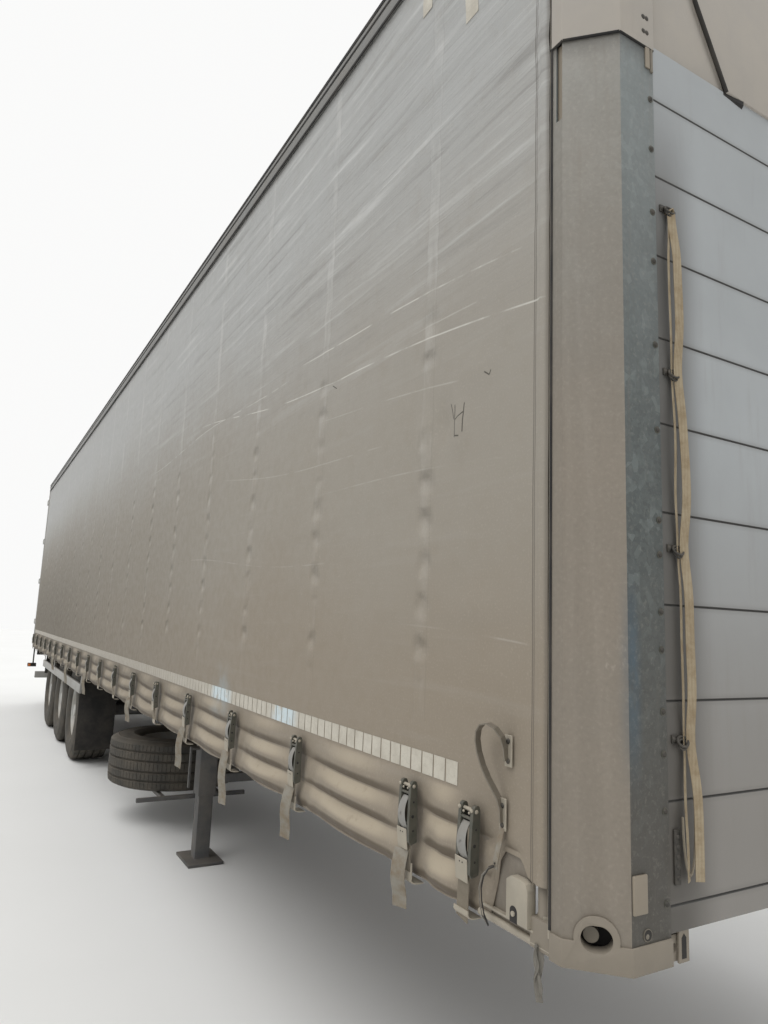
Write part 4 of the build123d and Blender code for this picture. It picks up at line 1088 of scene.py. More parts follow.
class TRAILER_OT_buckles(Making, bpy.types.Operator):
    """Fasten the buckles along both skirts, with their webbing, hooks and loose tails"""
    bl_idname = "trailer.buckles"
    bl_label = "Buckles and straps"

    def make(self, scene):
        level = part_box("buckles")[0].z
        back = CLOTH_PLANE + 0.0105
        out = back + 0.014
        meshes = buckle_frame_mesh(), buckle_lever_mesh(), keeper_mesh(), buckle_holes_mesh()
        stamped = [Shape() for _ in meshes]
        straps, hooks, tails = Shape(), Shape(), Shape()
        chance = random.Random(12)
        # The webbing's run below a buckle: outwards from the foot plate and upwards
        path = (
            (0.003, 0.030), (0.001, 0.004), (-0.001, -0.022), (-0.003, -0.046), (-0.006, -0.064),
            (-0.009, -0.080), (-0.012, -0.098),
        )
        for side in SIDES.values():
            for number, behind in enumerate(BUCKLES):
                tilt = Matrix.Rotation(math.radians(chance.uniform(-3.5, 3.5)), 4, "Y")
                place = side_matrix(behind, side, back, level) @ tilt
                for shape, mesh in zip(stamped, meshes):
                    shape.stamp(mesh, place)
                sway = chance.uniform(-0.005, 0.005)
                middle = behind + 0.003
                straps.ribbon([
                    spot(middle - sway * i, side, out + y, level + z)
                    for i, (y, z) in enumerate(path if number == 0 else path[:-1])
                ], WEBBING, 0.0026)
                self.hook(hooks, middle - sway * 5, side, out - 0.005, number > 0)
                if number in (1, 2, 3) or (number > 3 and chance.random() < 0.35):
                    self.tail(tails, behind, side, out, level, chance, 0.72 if number == 1 else 1.0)
        frames, levers, keepers, holes = stamped
        frames.piece("buckle_frames", "steel", nodes=["buckles"])
        levers.piece("buckle_levers", "lever", crease=50)
        keepers.piece("buckle_keepers", "pale")
        holes.piece("buckle_holes", "black")
        straps.piece("buckle_webbing", "webbing", nodes=["buckle_straps"])
        hooks.piece("rave_hooks", "pale")
        tails.piece("strap_tails", "tail")

    def hook(self, shape, behind, side, out, fronted):
        """A wide claw that grips under the rave, most with a plate and two prongs beside the webbing."""
        wide = 0.028
        if fronted:
            # Prongs and plate: rear and front edge, depth behind the face, height
            for rear, front, deep, high in (
                (wide - 0.0022, wide + 0.0022, 0.002, 0.038),
                (-wide - 0.0022, -wide + 0.0022, 0.002, 0.038),
                (-wide, wide, 0.001, 0.014),
            ):
                shape.block(
                    spot(behind - rear, side, out - deep, RAVE_LOW - 0.004),
                    spot(behind - front, side, out + 0.002, RAVE_LOW + high), 0.0008, 1,
                )
        claw = (
            (out, 0.004), (out, -0.006), (out - 0.006, -0.013), (out - 0.018, -0.016),
            (RAVE_OUT - 0.012, -0.016),
        )
        shape.ribbon([spot(behind, side, y, RAVE_LOW + z) for y, z in claw], 2 * wide, 0.0028)

    def tail(self, shape, behind, side, out, level, chance, share):
        """A loose strap end that slips out under the foot plate and hangs past the hem, leaning back."""
        drop = chance.uniform(0.17, 0.24) * share
        lean = chance.uniform(0.10, 0.42)
        route = []
        for i in range(11):
            t = i / 10
            outward = 0.012 * math.sin(math.pi * min(t * 1.3, 1.0)) - 0.012 * t * t
            place = behind + 0.006 + lean * drop * t ** 1.4 - 0.004 * math.sin(5 * t)
            route.append(spot(place, side, out + 0.012 + outward, level - 0.004 - drop * t))
        shape.ribbon(route, WEBBING, 0.0020, Vector((0.86, -side * 0.5, 0)))


class TRAILER_OT_handles(Making, bpy.types.Operator):
    """Fit the pull handles with their torn tabs, and the gear at the tension poles' feet"""
    bl_idname = "trailer.handles"
    bl_label = "Pull handles and pole feet"

    def make(self, scene):
        bands, plates, rivets, tabs, cord_loops_and_shade, strands = [Shape() for _ in range(6)]
        # Bands: distance behind the front, height and distance off the cloth
        swan = (
            (0.270, 1.350, 0.012), (0.270, 1.378, 0.016), (0.273, 1.402, 0.024), (0.284, 1.420, 0.034),
            (0.300, 1.428, 0.042), (0.318, 1.424, 0.046), (0.332, 1.409, 0.046), (0.339, 1.386, 0.043),
            (0.338, 1.358, 0.038), (0.331, 1.330, 0.032), (0.319, 1.304, 0.026), (0.305, 1.282, 0.020),
            (0.293, 1.262, 0.014), (0.287, 1.240, 0.011), (0.286, 1.212, 0.010),
        )
        tab = (
            (0.287, 1.200, 0.009), (0.288, 1.182, 0.012), (0.289, 1.164, 0.015), (0.291, 1.146, 0.018),
            (0.294, 1.128, 0.020), (0.296, 1.112, 0.020),
        )
        for side in SIDES.values():
            def at(behind, height, off):
                return spot(behind, side, CLOTH_PLANE + off, height)

            def line(points):
                return [at(*point) for point in points]

            bands.ribbon(line(swan), 0.022, 0.0032, Vector((0.35, side * 0.94, 0)))
            plates.block(at(0.283, 1.335, 0.004), at(0.258, 1.405, 0.008), 0.001, 1)
            plates.block(at(0.297, 1.194, 0.005), at(0.275, 1.264, 0.009), 0.001, 1)
            for behind, level in ((0.269, 1.348), (0.269, 1.392), (0.2865, 1.206), (0.2865, 1.248)):
                rivets.dome(at(behind, level, 0.009), (0, side, 0), 0.0062, 0.004, 10)
            tabs.ribbon(line(tab), 0.016, 0.0024)
            cord_loops_and_shade.dome(at(0.294, 1.124, 0.0235), (0, side, 0), 0.0026, 0.0012, 8, 4)
            for lean, width, shape in ((0.0, 0.013, cord_loops_and_shade), (0.006, 0.006, strands)):
                loop = (
                    (0.297, 1.118, 0.022), (0.306, 1.112, 0.030), (0.318, 1.094, 0.034 + lean),
                    (0.327, 1.066, 0.034 + lean), (0.332, 1.034, 0.028 + lean), (0.330, 1.004, 0.022 + lean),
                    (0.322, 0.984, 0.016),
                )
                shape.ribbon(line(loop), width, 0.0024, Vector((0.8, side * 0.6, 0)))
            self.pole_foot(plates, cord_loops_and_shade, side)
            self.frayed(strands, side)
        bands.piece("handle_bands", "dull", nodes=["pull_handles"])
        plates.piece("handle_plates", "pale", "galvanised")
        rivets.piece("handle_rivets", "dark")
        tabs.piece("handle_tabs", "tail")
        cord_loops_and_shade.piece("handle_cord_loops_and_shade", "black")
        strands.piece("frayed_strands", "strand")

    def pole_foot(self, plates, dark, side):
        """The ring, keeper, lip and gusset at a tension pole's foot, with the rods beside the cloth; the
        black rod is painted shade at the post's rear edge, and the black slot in the keeper is painted shade.
        """
        pole = POST_SIDE - 0.0323
        lip = RAVE_OUT + 0.002
        knob = RAVE_OUT + 0.018
        # Rods: shape, distance behind the front, out, height at both ends, radius, sides
        for shape, start, end, radius, sides in (
            (plates, (0.141, CLOTH_PLANE - 0.001, 1.02), (0.141, CLOTH_PLANE - 0.001, RAIL_LOW), 0.0055, 10),
            # The black rod is painted shade at the post's rear edge, in the gap before the cloth.
            (dark, (0.1345, POST_SIDE - 0.001, 1.04), (0.1345, POST_SIDE - 0.001, RAIL_LOW), 0.0042, 8),
            (plates, (0.176, pole, 1.044), (0.176, pole, 1.052), 0.0205, 16),
            (plates, (0.176, pole, 1.052), (0.176, pole, 1.112), 0.0185, 16),
            (plates, (0.38, lip, 0.992), (0.135, lip, 0.992), 0.009, 12),
            (plates, (0.240, knob, 1.036), (0.240, knob + 0.008, 1.036), 0.0055, 12),
        ):
            shape.rod(spot(start[0], side, *start[1:]), spot(end[0], side, *end[1:]), radius, sides)
        # Plates: distance behind the front, out from the rave's face and height at two corners
        for (rear, inner, low), (fore, outer, high) in (
            ((0.203, -0.004, RAVE_LOW), (0.199, 0.004, 1.112)),
            ((0.36, -0.006, 1.012), (0.19, 0.012, 1.017)),
        ):
            plates.block(
                spot(rear, side, RAVE_OUT + inner, low), spot(fore, side, RAVE_OUT + outer, high), 0.0008, 1
            )
        # Upright outlines: x forwards from the front, y up
        face = side * (RAVE_OUT + 0.001)
        upright = Matrix(((1, 0, 0, FRONT), (0, 0, side, face), (0, 1, 0, 0), (0, 0, 0, 1)))
        plates.prism([(-0.198, 0.990), (-0.128, 0.990), (-0.128, 1.004), (-0.198, 1.040)], upright, 0.005)
        keeper = (
            (-0.266, 1.018), (-0.196, 1.018), (-0.196, 1.094), (-0.202, 1.106), (-0.214, 1.111),
            (-0.250, 1.111), (-0.266, 1.100),
        )
        plates.eased(plates.prism(keeper, upright, 0.0215), 0.002, 2)
        round_top = [(a - 0.240, b + 1.040) for a, b in ring_points(16, 0.012)[:9]]
        # The black slot on the keeper is painted shade in its opening.
        dark.prism([(-0.252, 1.018), (-0.228, 1.018), *round_top], upright, 0.0219)

    def frayed(self, strands, side):
        """The frayed strap end that hangs under the front corner, in three strands."""
        for strand, (start, sway, width) in enumerate(
            ((0.172, 0.012, 0.015), (0.180, -0.004, 0.010), (0.168, 0.016, 0.006))
        ):
            route = []
            for i in range(10):
                t = i / 9
                wave = 0.005 * math.sin(7.0 * t + strand * 2.0)
                out = RAVE_OUT + 0.010 + 0.004 * strand - 0.01 * t
                route.append(spot(start + sway * t - wave, side, out, 0.996 - (0.115 - 0.02 * strand) * t))
            strands.ribbon(route, width, 0.0016, Vector((1, side * 0.5 * (strand - 1), 0)).normalized())


class TRAILER_OT_front(Making, bpy.types.Operator):
    """Dress the front: posts, castings, caps, boards, screws, rope rings and the stowed strap"""
    bl_idname = "trailer.front"
    bl_label = "Front wall and posts"

    def make(self, scene):
        refine(
            ("front_corner_posts", "zinc", 0.0015),
            ("corner_castings", "casting", 0.003),
            ("front_caps", "cap", 0.0015),
            ("front_wall", "planks", 0.0),
            ("front_header", "cap", 0.004),
            ("front_sill", "chassis", 0.002),
            ("tension_poles", "casting", 0.0015),
        )
        self.screws()
        self.fittings()
        self.cover_seams()
        self.rope_rings()
        self.stowed_strap()

    def screws(self):
        """Round screw heads down each post's inner edge, and rivet pairs on the caps."""
        heads, washers = Shape(), Shape()
        levels = (
            2.932, 2.799, 2.634, 2.509, 2.303, 2.101, 1.895, 1.818, 1.694, 1.613, 1.484, 1.397, 1.283, 1.103
        )
        for side in SIDES.values():
            for level in levels:
                washers.rod(
                    spot(0.006, side, SCREW_LINE, level), spot(0.0038, side, SCREW_LINE, level), 0.0085, 12
                )
                heads.dome(spot(0.004, side, SCREW_LINE, level), X_AXIS, 0.0062, 0.0045, 10)
            for level in (3.105, 3.145):
                for across in (1.098, 1.086):
                    heads.dome(spot(0, side, across, level), X_AXIS, 0.0066, 0.0026, 10)
        heads.piece("post_screws", "dark")
        washers.piece("post_washers", "steel")

    def fittings(self):
        """Blank plates low on the posts, brackets under the caps, black strips under the caps as painted
        shadow, and what shows in the eyes and openings, with black walls, discs and slots as painted shade.
        """
        pads, shade_pieces, bolts, lugs = [Shape() for _ in range(4)]
        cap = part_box("front_caps")[0].z
        # The cap's lower edge, round the post: distance behind the front and out
        line = ((0.137, 1.2705), (0.0975, 1.2705), (0.0045, 1.1775), (0.0045, 1.061))
        # Outlines on a plate beside the casting: out from the middle, and height
        lug = (
            (1.002, 0.982), (1.034, 0.982), (1.034, 1.062), (1.030, 1.074), (1.022, 1.080), (1.013, 1.079),
            (1.005, 1.070), (1.002, 1.058),
        )
        slot = ((1.012, 0.990), (1.026, 0.990), (1.026, 1.030), (1.019, 1.038), (1.012, 1.030))
        for side in SIDES.values():
            pads.block(spot(0.006, side, 1.134, 1.096), spot(-0.001, side, 1.174, 1.170), 0.0025, 3)
            # A black strip round the post under the cap's edge, painted shadow below the cap.
            for (behind, out), (next_behind, next_out) in zip(line, line[1:]):
                shade_pieces.rod(
                    spot(behind, side, out, cap + 0.0005), spot(next_behind, side, next_out, cap + 0.0005),
                    0.0040, 8,
                )
            bracket = spot(0.005, side, 1.090, cap - 0.056), spot(0.001, side, 1.075, cap + 0.004)
            pads.block(*bracket, 0.0008, 1)
            bolts.rod(spot(0.004, side, 1.068, cap - 0.062), spot(0.004, side, 1.068, cap), 0.0045, 10)
            pads.block(spot(0.122, side, POST_SIDE - 0.012, 2.855), spot(0.100, side, POST_SIDE - 0.008, cap))
            self.eye(shade_pieces, bolts, side)
            hole = spot(0.005, side, 1.1315, 1.054)
            bolts.rod(hole, hole + Vector((0.0014, 0, 0)), 0.0122, 24)
            # A black disc in the eye, painted shade inside it.
            shade_pieces.rod(hole, hole + Vector((0.0020, 0, 0)), 0.0105, 24)
            bolts.dome(hole + Vector((0.0020, side * 0.002, -0.002)), X_AXIS, 0.0050, 0.0010, 12, 4)
            plate = Matrix(((0, 0, 1, FRONT - 0.014), (side, 0, 0, 0), (0, 1, 0, 0), (0, 0, 0, 1)))
            lugs.eased(lugs.prism(lug, plate, 0.006), 0.001, 1)
            # A black slot on the plate, painted shade in its opening.
            shade_pieces.prism(slot, plate, 0.0066)
        pads.piece("marker_plates", "pad")
        shade_pieces.piece("painted_shadow_strips_and_openings", "black")
        bolts.piece("eye_bolts", "dull")
        lugs.piece("rope_lugs", "casting")

    def eye(self, shade_pieces, bolts, side):
        """Black walls behind a casting's lifting eye as painted shade, and the bolt end that shows in it."""
        inward = Vector((-1, -side, 0)).normalized()
        along = Vector((-1, side, 0)).normalized()
        place = Matrix((along, Z_AXIS, inward)).transposed().to_4x4()
        place.translation = spot(0.0485, side, POST_SIDE - 0.0485, 1.045)
        made = shade_pieces.block((-0.075, -0.055, 0.050), (0.075, 0.060, 0.054))
        made += shade_pieces.block((-0.050, -0.056, 0.004), (0.050, -0.052, 0.052))
        bmesh.ops.transform(shade_pieces.bm, matrix=place, verts=made)
        bolts.rod(place @ Vector((0.014, 0, 0.048)), place @ Vector((0.014, 0, 0.020)), 0.0155, 20)

    def cover_seams(self):
        """A dark seal along each sloping edge of the header's raised cover, flared at its foot."""
        shape = Shape()
        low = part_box("front_header")[0].z
        # The seal's route: inwards from the cover's outer edge, and height
        route = ((0.291, low), (0.171, low + 0.216), (0.061, ROOF_TOP))
        for side in SIDES.values():
            shape.tube([spot(0.004, side, 1.061 - inset, level) for inset, level in route], 0.006, X_AXIS, 8)
            foot = low - 0.004
            shape.rod(spot(0.020, side, 0.80, foot), spot(0.020, side, 0.70, foot), 0.012, 10, 0.02)
        shape.piece("cover_seams", "black")

    def rope_rings(self):
        """Dark shackles on the bars beside the right post, and the small gear at its foot."""
        bars, rings, cable = Shape(), Shape(), Shape()
        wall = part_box("lashing_rings")[0].x
        for level in RING_LEVELS:
            bars.block((wall, -1.047, level - 0.009), (wall + 0.004, -1.003, level + 0.009), 0.0014)
            for across in (-1.041, -1.009):
                bars.dome((wall + 0.004, across, level), X_AXIS, 0.0055, 0.0035, 10)
            for drop, wide, reach in ((0.010, 0.013, 0.007), (0.004, 0.016, 0.010)):
                circle = ring_points(18, 1.0)
                rings.tube([
                    (wall + 0.006 + reach * (0.5 - 0.5 * a), STRAP_LINE + wide * b, level - drop + 0.010 * a)
                    for a, b in (*circle, circle[0])
                ], 0.0028, X_AXIS, 7)
        bars.block((wall, -1.048, 1.135), (wall + 0.006, -1.030, 1.245), 0.002, 1)
        for step in range(5):
            rings.dome((wall + 0.006, -1.039, 1.150 + 0.020 * step), X_AXIS, 0.0052, 0.003, 8)
        cable.tube([
            (wall + 0.012, -1.030 + 0.020 * (1 - a), 1.270 - 0.115 * b - 0.006 * i / 12)
            for i, (a, b) in enumerate(ring_points(24, 1.0)[:13])
        ], 0.0026, X_AXIS, 7)
        bars.piece("rope_bars", "dark", nodes=["lashing_rings"])
        rings.piece("rope_rings", "dark")
        cable.piece("thin_cable", "webbing")

    def stowed_strap(self):
        """A lashing strap folded over the top ring, its two strands tied back at the rings below."""
        shape = Shape()
        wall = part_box("front_wall")[1].x
        for strand, way in enumerate((1, -1)):
            route = []
            for i in range(STRAP_STEPS + 1):
                z = STRAP_TOP - STRAP_DROP * i / STRAP_STEPS
                near = min(abs(z - tie) for tie in RING_LEVELS)
                slack = 1 - bell(near, 0.080)
                apart = way * (0.005 + 0.006 * slack) * smooth(STRAP_TOP - z, 0.0, 0.12)
                sway = 0.010 * slack * noise.noise(Vector((z * 2.7, strand * 4.0, 2.0)))
                y = STRAP_LINE + apart + sway + 0.020 * (STRAP_TOP - z) / STRAP_DROP
                loose = 0.6 + noise.noise(Vector((z * 4, strand, 8)))
                route.append((wall + 0.010 + 0.004 * way + 0.010 * slack * loose, y, z))
            lean = 0.5 * noise.noise(Vector((strand * 5.0, 1.0, 3.0))) + 0.45 * way
            shape.ribbon(route, 0.017 + 0.003 * way, 0.0018, Vector((lean, 1, 0)).normalized())
        shape.ribbon([
            (wall + 0.008 + 0.006 * b, STRAP_LINE + 0.007 * a, STRAP_TOP + 0.012 * b)
            for a, b in [(math.cos(turn), math.sin(turn)) for turn in (0, 0.8, 1.57, 2.3, 3.14)]
        ], 0.014, 0.0018)
        shape.piece("stowed_strap", "lashing")


class TRAILER_OT_roof(Making, bpy.types.Operator):
    """Lay the roof cloth over its bows and dress the roof rails"""
    bl_idname = "trailer.roof"
    bl_label = "Roof"

    def make(self, scene):
        low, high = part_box("roof_sheet")
        bows = self.bow_places()

        def lie(along, up):
            x = low.x + (high.x - low.x) * along
            y = low.y + (high.y - low.y) * up
            near = min(abs(x - bow) for bow in bows)
            sag = 0.010 * (1 - bell(near, 0.22)) * math.cos(math.pi * (up - 0.5) * 0.98)
            crumple = 0.002 * noise.noise(Vector((x * 1.3, y * 2.1, 4.0)))
            return x, y, high.z - sag + crumple - 0.002

        shape = Shape()
        shape.grid(260, 30, lie)
        cloth = shape.sheet("roof_cloth", "roof", Z_AXIS, 0.002, ["roof_sheet"])
        refined("roof_rails", "rail", 0.002)
        refined("roof_bows", "alloy", 0.002, segments=1)
        self.shade_bands()

    def bow_places(self):
        """Where the bows stand, read from their corners."""
        found = sorted({round(corner.co.x, 2) for corner in frame["nodes"]["roof_bows"].data.vertices})
        return [(a + b) / 2 for a, b in zip(found[::2], found[1::2])]

    def shade_bands(self):
        """Black strips as painted shade on each rail: along its top, over the curtain's roller track, and as
        a painted shadow along its lower edge on the cloth.
        """
        low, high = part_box("roof_rails")
        shape = Shape()
        for side in SIDES.values():
            # Strips: depth inside the rail's face, lower and upper edge
            for inner, bottom, top in (
                (0.010, high.z - 0.016, high.z + 0.001),
                (0.002, low.z + 0.060, low.z + 0.070),
                (0.002, low.z - 0.004, low.z + 0.007),
            ):
                shape.block(
                    (low.x, side * (high.y - inner), bottom),
                    (high.x, side * (high.y + 0.003), top), 0.0008, 1,
                )
        shape.piece("rail_shade_strips", "black")


class TRAILER_OT_wheels(Making, bpy.types.Operator):
    """Model the tyres and rims on their axles, and the spare in its carrier"""
    bl_idname = "trailer.wheels"
    bl_label = "Wheels"

    def make(self, scene):
        tyre = self.tyre_mesh(scene.trailer_wheels.steps)
        rim = self.rim_mesh()
        nuts = self.nut_mesh()
        for number in (1, 2, 3):
            for side_name, side in SIDES.items():
                name = f"{number}_{side_name}"
                place = self.middle(f"tyre_{name}") @ Matrix.Rotation(math.radians(-90 * side), 4, "X")
                for mesh, piece, finish, nodes in (
                    (tyre, "tyre_rubber", "tyre", [f"tyre_{name}"]),
                    (rim, "rim_disc", "rim", [f"rim_{name}"]),
                    (nuts, "wheel_nuts", "steel", []),
                ):
                    self.put(mesh, place, f"{piece}_{name}", finish, f"wheel_{name}", nodes)
        place = self.middle("spare_tyre") @ Matrix.Rotation(math.pi, 4, "X")
        self.put(tyre, place, "spare_tyre_rubber", "tyre", "trailer", ["spare_tyre"])
        self.put(self.rim_mesh(hub=False), place, "spare_rim_disc", "rim", "trailer", ["spare_rim"])

    def middle(self, node):
        """The middle of a CAD piece."""
        low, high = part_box(node)
        return Matrix.Translation((low + high) / 2)

    def put(self, mesh, place, name, finish, body, nodes):
        shape = Shape()
        shape.stamp(mesh, place)
        shape.piece(name, finish, body=body, nodes=nodes)

    def tyre_mesh(self, steps):
        """A wide single tyre: bulged walls with rings, four grooves and blocks between them."""
        low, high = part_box("tyre_1_left")
        radius, half = (high.z - low.z) / 2, (high.y - low.y) / 2
        # The outer wall: radius and distance from the middle, before it is fitted to the CAD tyre
        wall = (
            (0.2862, 0.120), (0.2864, 0.148), (0.292, 0.158), (0.300, 0.161), (0.304, 0.168),
            (0.322, 0.180), (0.350, 0.1895), (0.356, 0.1925), (0.364, 0.1925), (0.370, 0.1905),
            (0.405, 0.1925), (0.440, 0.190), (0.470, 0.185), (0.474, 0.187), (0.480, 0.187),
            (0.484, 0.182), (0.508, 0.175), (0.522, 0.168),
        )
        widest = max(w for r, w in wall)
        outer = [(r, w * half / widest) for r, w in wall]
        bottom = radius - 0.013
        tread = []
        for centre in (0.108, 0.040, -0.040, -0.108):
            brim = radius - 0.004 * (centre / 0.16) ** 2
            tread += [
                (brim, centre + 0.008), (bottom, centre + 0.005),
                (bottom, centre - 0.005), (brim, centre - 0.008),
            ]
        shoulder = radius - 0.007
        outline = [*outer, (shoulder, 0.160), *tread, (shoulder, -0.160)]
        outline += [(r, -w) for r, w in outer[::-1]] + [(0.300, -0.10), (0.300, 0.10)]
        shape = Shape()
        shape.lathe(outline, (0, 0, 0), Z_AXIS, steps)
        ribs = [
            face for face in shape.bm.faces
            if all(corner.co.to_2d().length > radius - 0.0075 for corner in face.verts)
            and face.calc_area() > 0.0005
        ]
        bmesh.ops.inset_individual(shape.bm, faces=ribs, thickness=0.0028, depth=0.0, use_even_offset=True)
        for face in ribs:
            for corner in face.verts:
                corner.co.xy *= 1 + BLOCK_RISE / radius
        shape.bm.normal_update()
        scale = radius / (radius + BLOCK_RISE)
        bmesh.ops.scale(shape.bm, verts=shape.bm.verts, vec=(scale, scale, 1))
        return shape.mesh("tyre_shape", crease=45)

    def rim_mesh(self, hub=True):
        """A dished steel disc with hand holes in a wide rim, and its hub."""
        half, flange, seat = 0.150, 0.2995, 0.2857
        barrel = (
            (flange - 0.012, half + 0.004), (flange, half + 0.008), (flange + 0.002, half + 0.002),
            (flange - 0.004, half - 0.004), (seat, half - 0.012), (seat - 0.004, half - 0.05),
            (0.268, half - 0.085), (0.262, 0.0), (0.268, -0.10), (seat - 0.003, -half + 0.012),
            (flange - 0.006, -half + 0.004), (flange, -half - 0.006), (flange - 0.010, -half - 0.006),
            (seat - 0.012, -half + 0.014), (0.258, -0.10), (0.252, 0.0), (0.256, half - 0.085),
            (seat - 0.013, half - 0.045), (seat - 0.010, half - 0.012),
        )
        shape = Shape()
        shape.lathe(barrel, (0, 0, 0), Z_AXIS, 64)
        shape.stamp(self.disc_mesh(), Matrix.Identity(4))
        if hub:
            reach = 0.166
            cover = (
                (0.0, reach), (0.030, reach), (0.062, reach - 0.004), (0.068, reach - 0.010),
                (0.070, reach - 0.020), (0.092, reach - 0.024), (0.094, 0.10), (0.098, 0.092), (0.112, 0.088),
                (0.116, 0.064), (0.10, 0.05), (0.10, -0.04), (0.0, -0.04),
            )
            shape.lathe(cover, (0, 0, 0), Z_AXIS, 40, closed=False)
            for x, y in ring_points(6, 0.080):
                shape.rod((x, y, reach - 0.024), (x, y, reach - 0.017), 0.006, 6)
        return shape.mesh("rim_shape", crease=40)

    def disc_mesh(self):
        """The dished disc, its hand holes cut through."""
        shape, cutter = Shape(), Shape()
        disc = (
            (0.105, 0.075), (0.172, 0.072), (0.184, 0.068), (0.200, 0.052), (0.224, 0.026), (0.240, 0.014),
            (0.2555, 0.010), (0.2555, -0.001), (0.236, 0.003), (0.218, 0.014), (0.194, 0.040), (0.178, 0.057),
            (0.166, 0.061), (0.105, 0.064),
        )
        shape.lathe(disc, (0, 0, 0), Z_AXIS, 80)
        for x, y in ring_points(STUDS, 0.214, math.pi / STUDS):
            cutter.rod((x, y, -0.05), (x, y, 0.12), 0.026, 20)
        blank = bpy.data.objects.new("disc_blank", shape.mesh("disc_blank"))
        holes = bpy.data.objects.new("disc_holes", cutter.mesh("disc_holes"))
        for obj in (blank, holes):
            bpy.context.scene.collection.objects.link(obj)
        cut = blank.modifiers.new("holes", "BOOLEAN")
        cut.object, cut.operation, cut.solver = holes, "DIFFERENCE", "EXACT"
        bpy.context.view_layer.update()
        graph = bpy.context.evaluated_depsgraph_get()
        made = bpy.data.meshes.new_from_object(blank.evaluated_get(graph))
        for obj in (blank, holes):
            bpy.data.objects.remove(obj)
        return made

    def nut_mesh(self):
        """The wheel nuts on their studs, in a ring."""
        shape = Shape()
        washer = ((0.0, 0.074), (0.019, 0.074), (0.021, 0.076), (0.018, 0.080), (0.0, 0.080))
        for x, y in ring_points(STUDS, 0.1405):
            shape.lathe(washer, (x, y, 0), Z_AXIS, 16, closed=False)
            shape.rod((x, y, 0.079), (x, y, 0.098), 0.0165, 6, 0.0155)
            shape.rod((x, y, 0.098), (x, y, 0.108), 0.009, 10, 0.0085)
        return shape.mesh("nut_shape", crease=30)


class TRAILER_OT_chassis(Making, bpy.types.Operator):
    """Finish the frame, floor, running gear, landing legs and spare carrier"""
    bl_idname = "trailer.chassis"
    bl_label = "Chassis and running gear"

    def make(self, scene):
        refine(
            ("main_beams", "chassis", 0.002),
            ("crossmembers", "chassis", 0.0012),
            ("side_raves", "zinc", 0.0015),
            ("floor", "deck", 0.0),
            ("coupling_plate", "chassis", 0.002),
            ("king_pin", "steel", 0.001),
            ("sliding_posts", "alloy", 0.002),
            ("side_laths", "lath", 0.002),
            ("landing_legs", "chassis", 0.003),
            ("leg_bracing", "chassis", 0.002),
            ("spare_carrier", "chassis", 0.002),
            ("hanger_brackets", "chassis", 0.003),
            ("trailing_arms", "dark", 0.004),
            ("axle_beams", "chassis", 0.004),
            ("air_bags", "rubber", 0.006),
            ("shock_absorbers", "dark", 0.001),
            ("brake_chambers", "dark", 0.006),
            ("air_tanks", "chassis", 0.01),
            ("mudguards", "guard", 0.001),
            ("wheel_strips", "alloy", 0.002),
            ("mud_flaps", "rubber", 0.001),
        )


class TRAILER_OT_rear(Making, bpy.types.Operator):
    """Dress the rear: frame, doors, lock gear, hinges, lamps and underrun bar"""
    bl_idname = "trailer.rear"
    bl_label = "Rear end"

    def make(self, scene):
        refine(
            ("rear_frame", "alloy", 0.003, "galvanised"),
            ("hinge_ears", "alloy", 0.001, "galvanised"),
            ("door_left", "doors", 0.002),
            ("door_right", "doors", 0.002),
            ("lock_rods_left", "pale", 0.001, "galvanised"),
            ("lock_rods_right", "pale", 0.001, "galvanised"),
            ("underrun_bar", "alloy", 0.003),
            ("tail_lamps", "black", 0.004),
            ("marker_lamps", "rubber", 0.004),
        )
        self.lenses()
        self.seals()

    def lenses(self):
        """Lens sections on the tail lamps, and those at the front and back of the marker lamps."""
        low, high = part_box("tail_lamps")
        mark_low, mark_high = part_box("marker_lamps")
        inner = 0.780
        width = (high.y - inner) / 3
        # Lenses: colour, place outwards on a tail lamp, and the marker lamp's face and way it looks
        for name, place, marks in (
            ("red", 1, [(mark_low.x, -1)]), ("amber", 2, [(mark_high.x, 1)]), ("clear", 0, ()),
        ):
            shape = Shape()
            start = inner + width * place
            for side in SIDES.values():
                shape.block(
                    (low.x - 0.006, side * (start + 0.008), low.z + 0.014),
                    (low.x + 0.004, side * (start + width - 0.004), high.z - 0.014), 0.004, 3,
                )
            for face, way in marks:
                for side in SIDES.values():
                    shape.block(
                        (face - 0.002 * way, side * (mark_high.y - 0.045), mark_low.z + 0.010),
                        (face + 0.005 * way, side * (mark_high.y - 0.008), mark_low.z + 0.050), 0.003,
                    )
            shape.piece(f"{name}_lenses", name)

    def seals(self):
        """Black rubber round each door's edge."""
        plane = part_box("rear_frame")[0].x - 0.046
        inner, outer, wide = 0.009, 1.262, 0.014
        for name, side in SIDES.items():
            low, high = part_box(f"door_{name}")
            shape = Shape()
            for y0, y1, z0, z1 in (
                (inner, inner + wide, low.z, high.z), (outer - wide, outer, low.z, high.z),
                (inner, outer, low.z, low.z + wide), (inner, outer, high.z - wide, high.z),
            ):
                shape.block((plane - 0.003, side * y0, z0), (plane + 0.006, side * y1, z1), 0.002, 1)
            shape.piece(f"door_seal_{name}", "black", body=f"door_{name}")


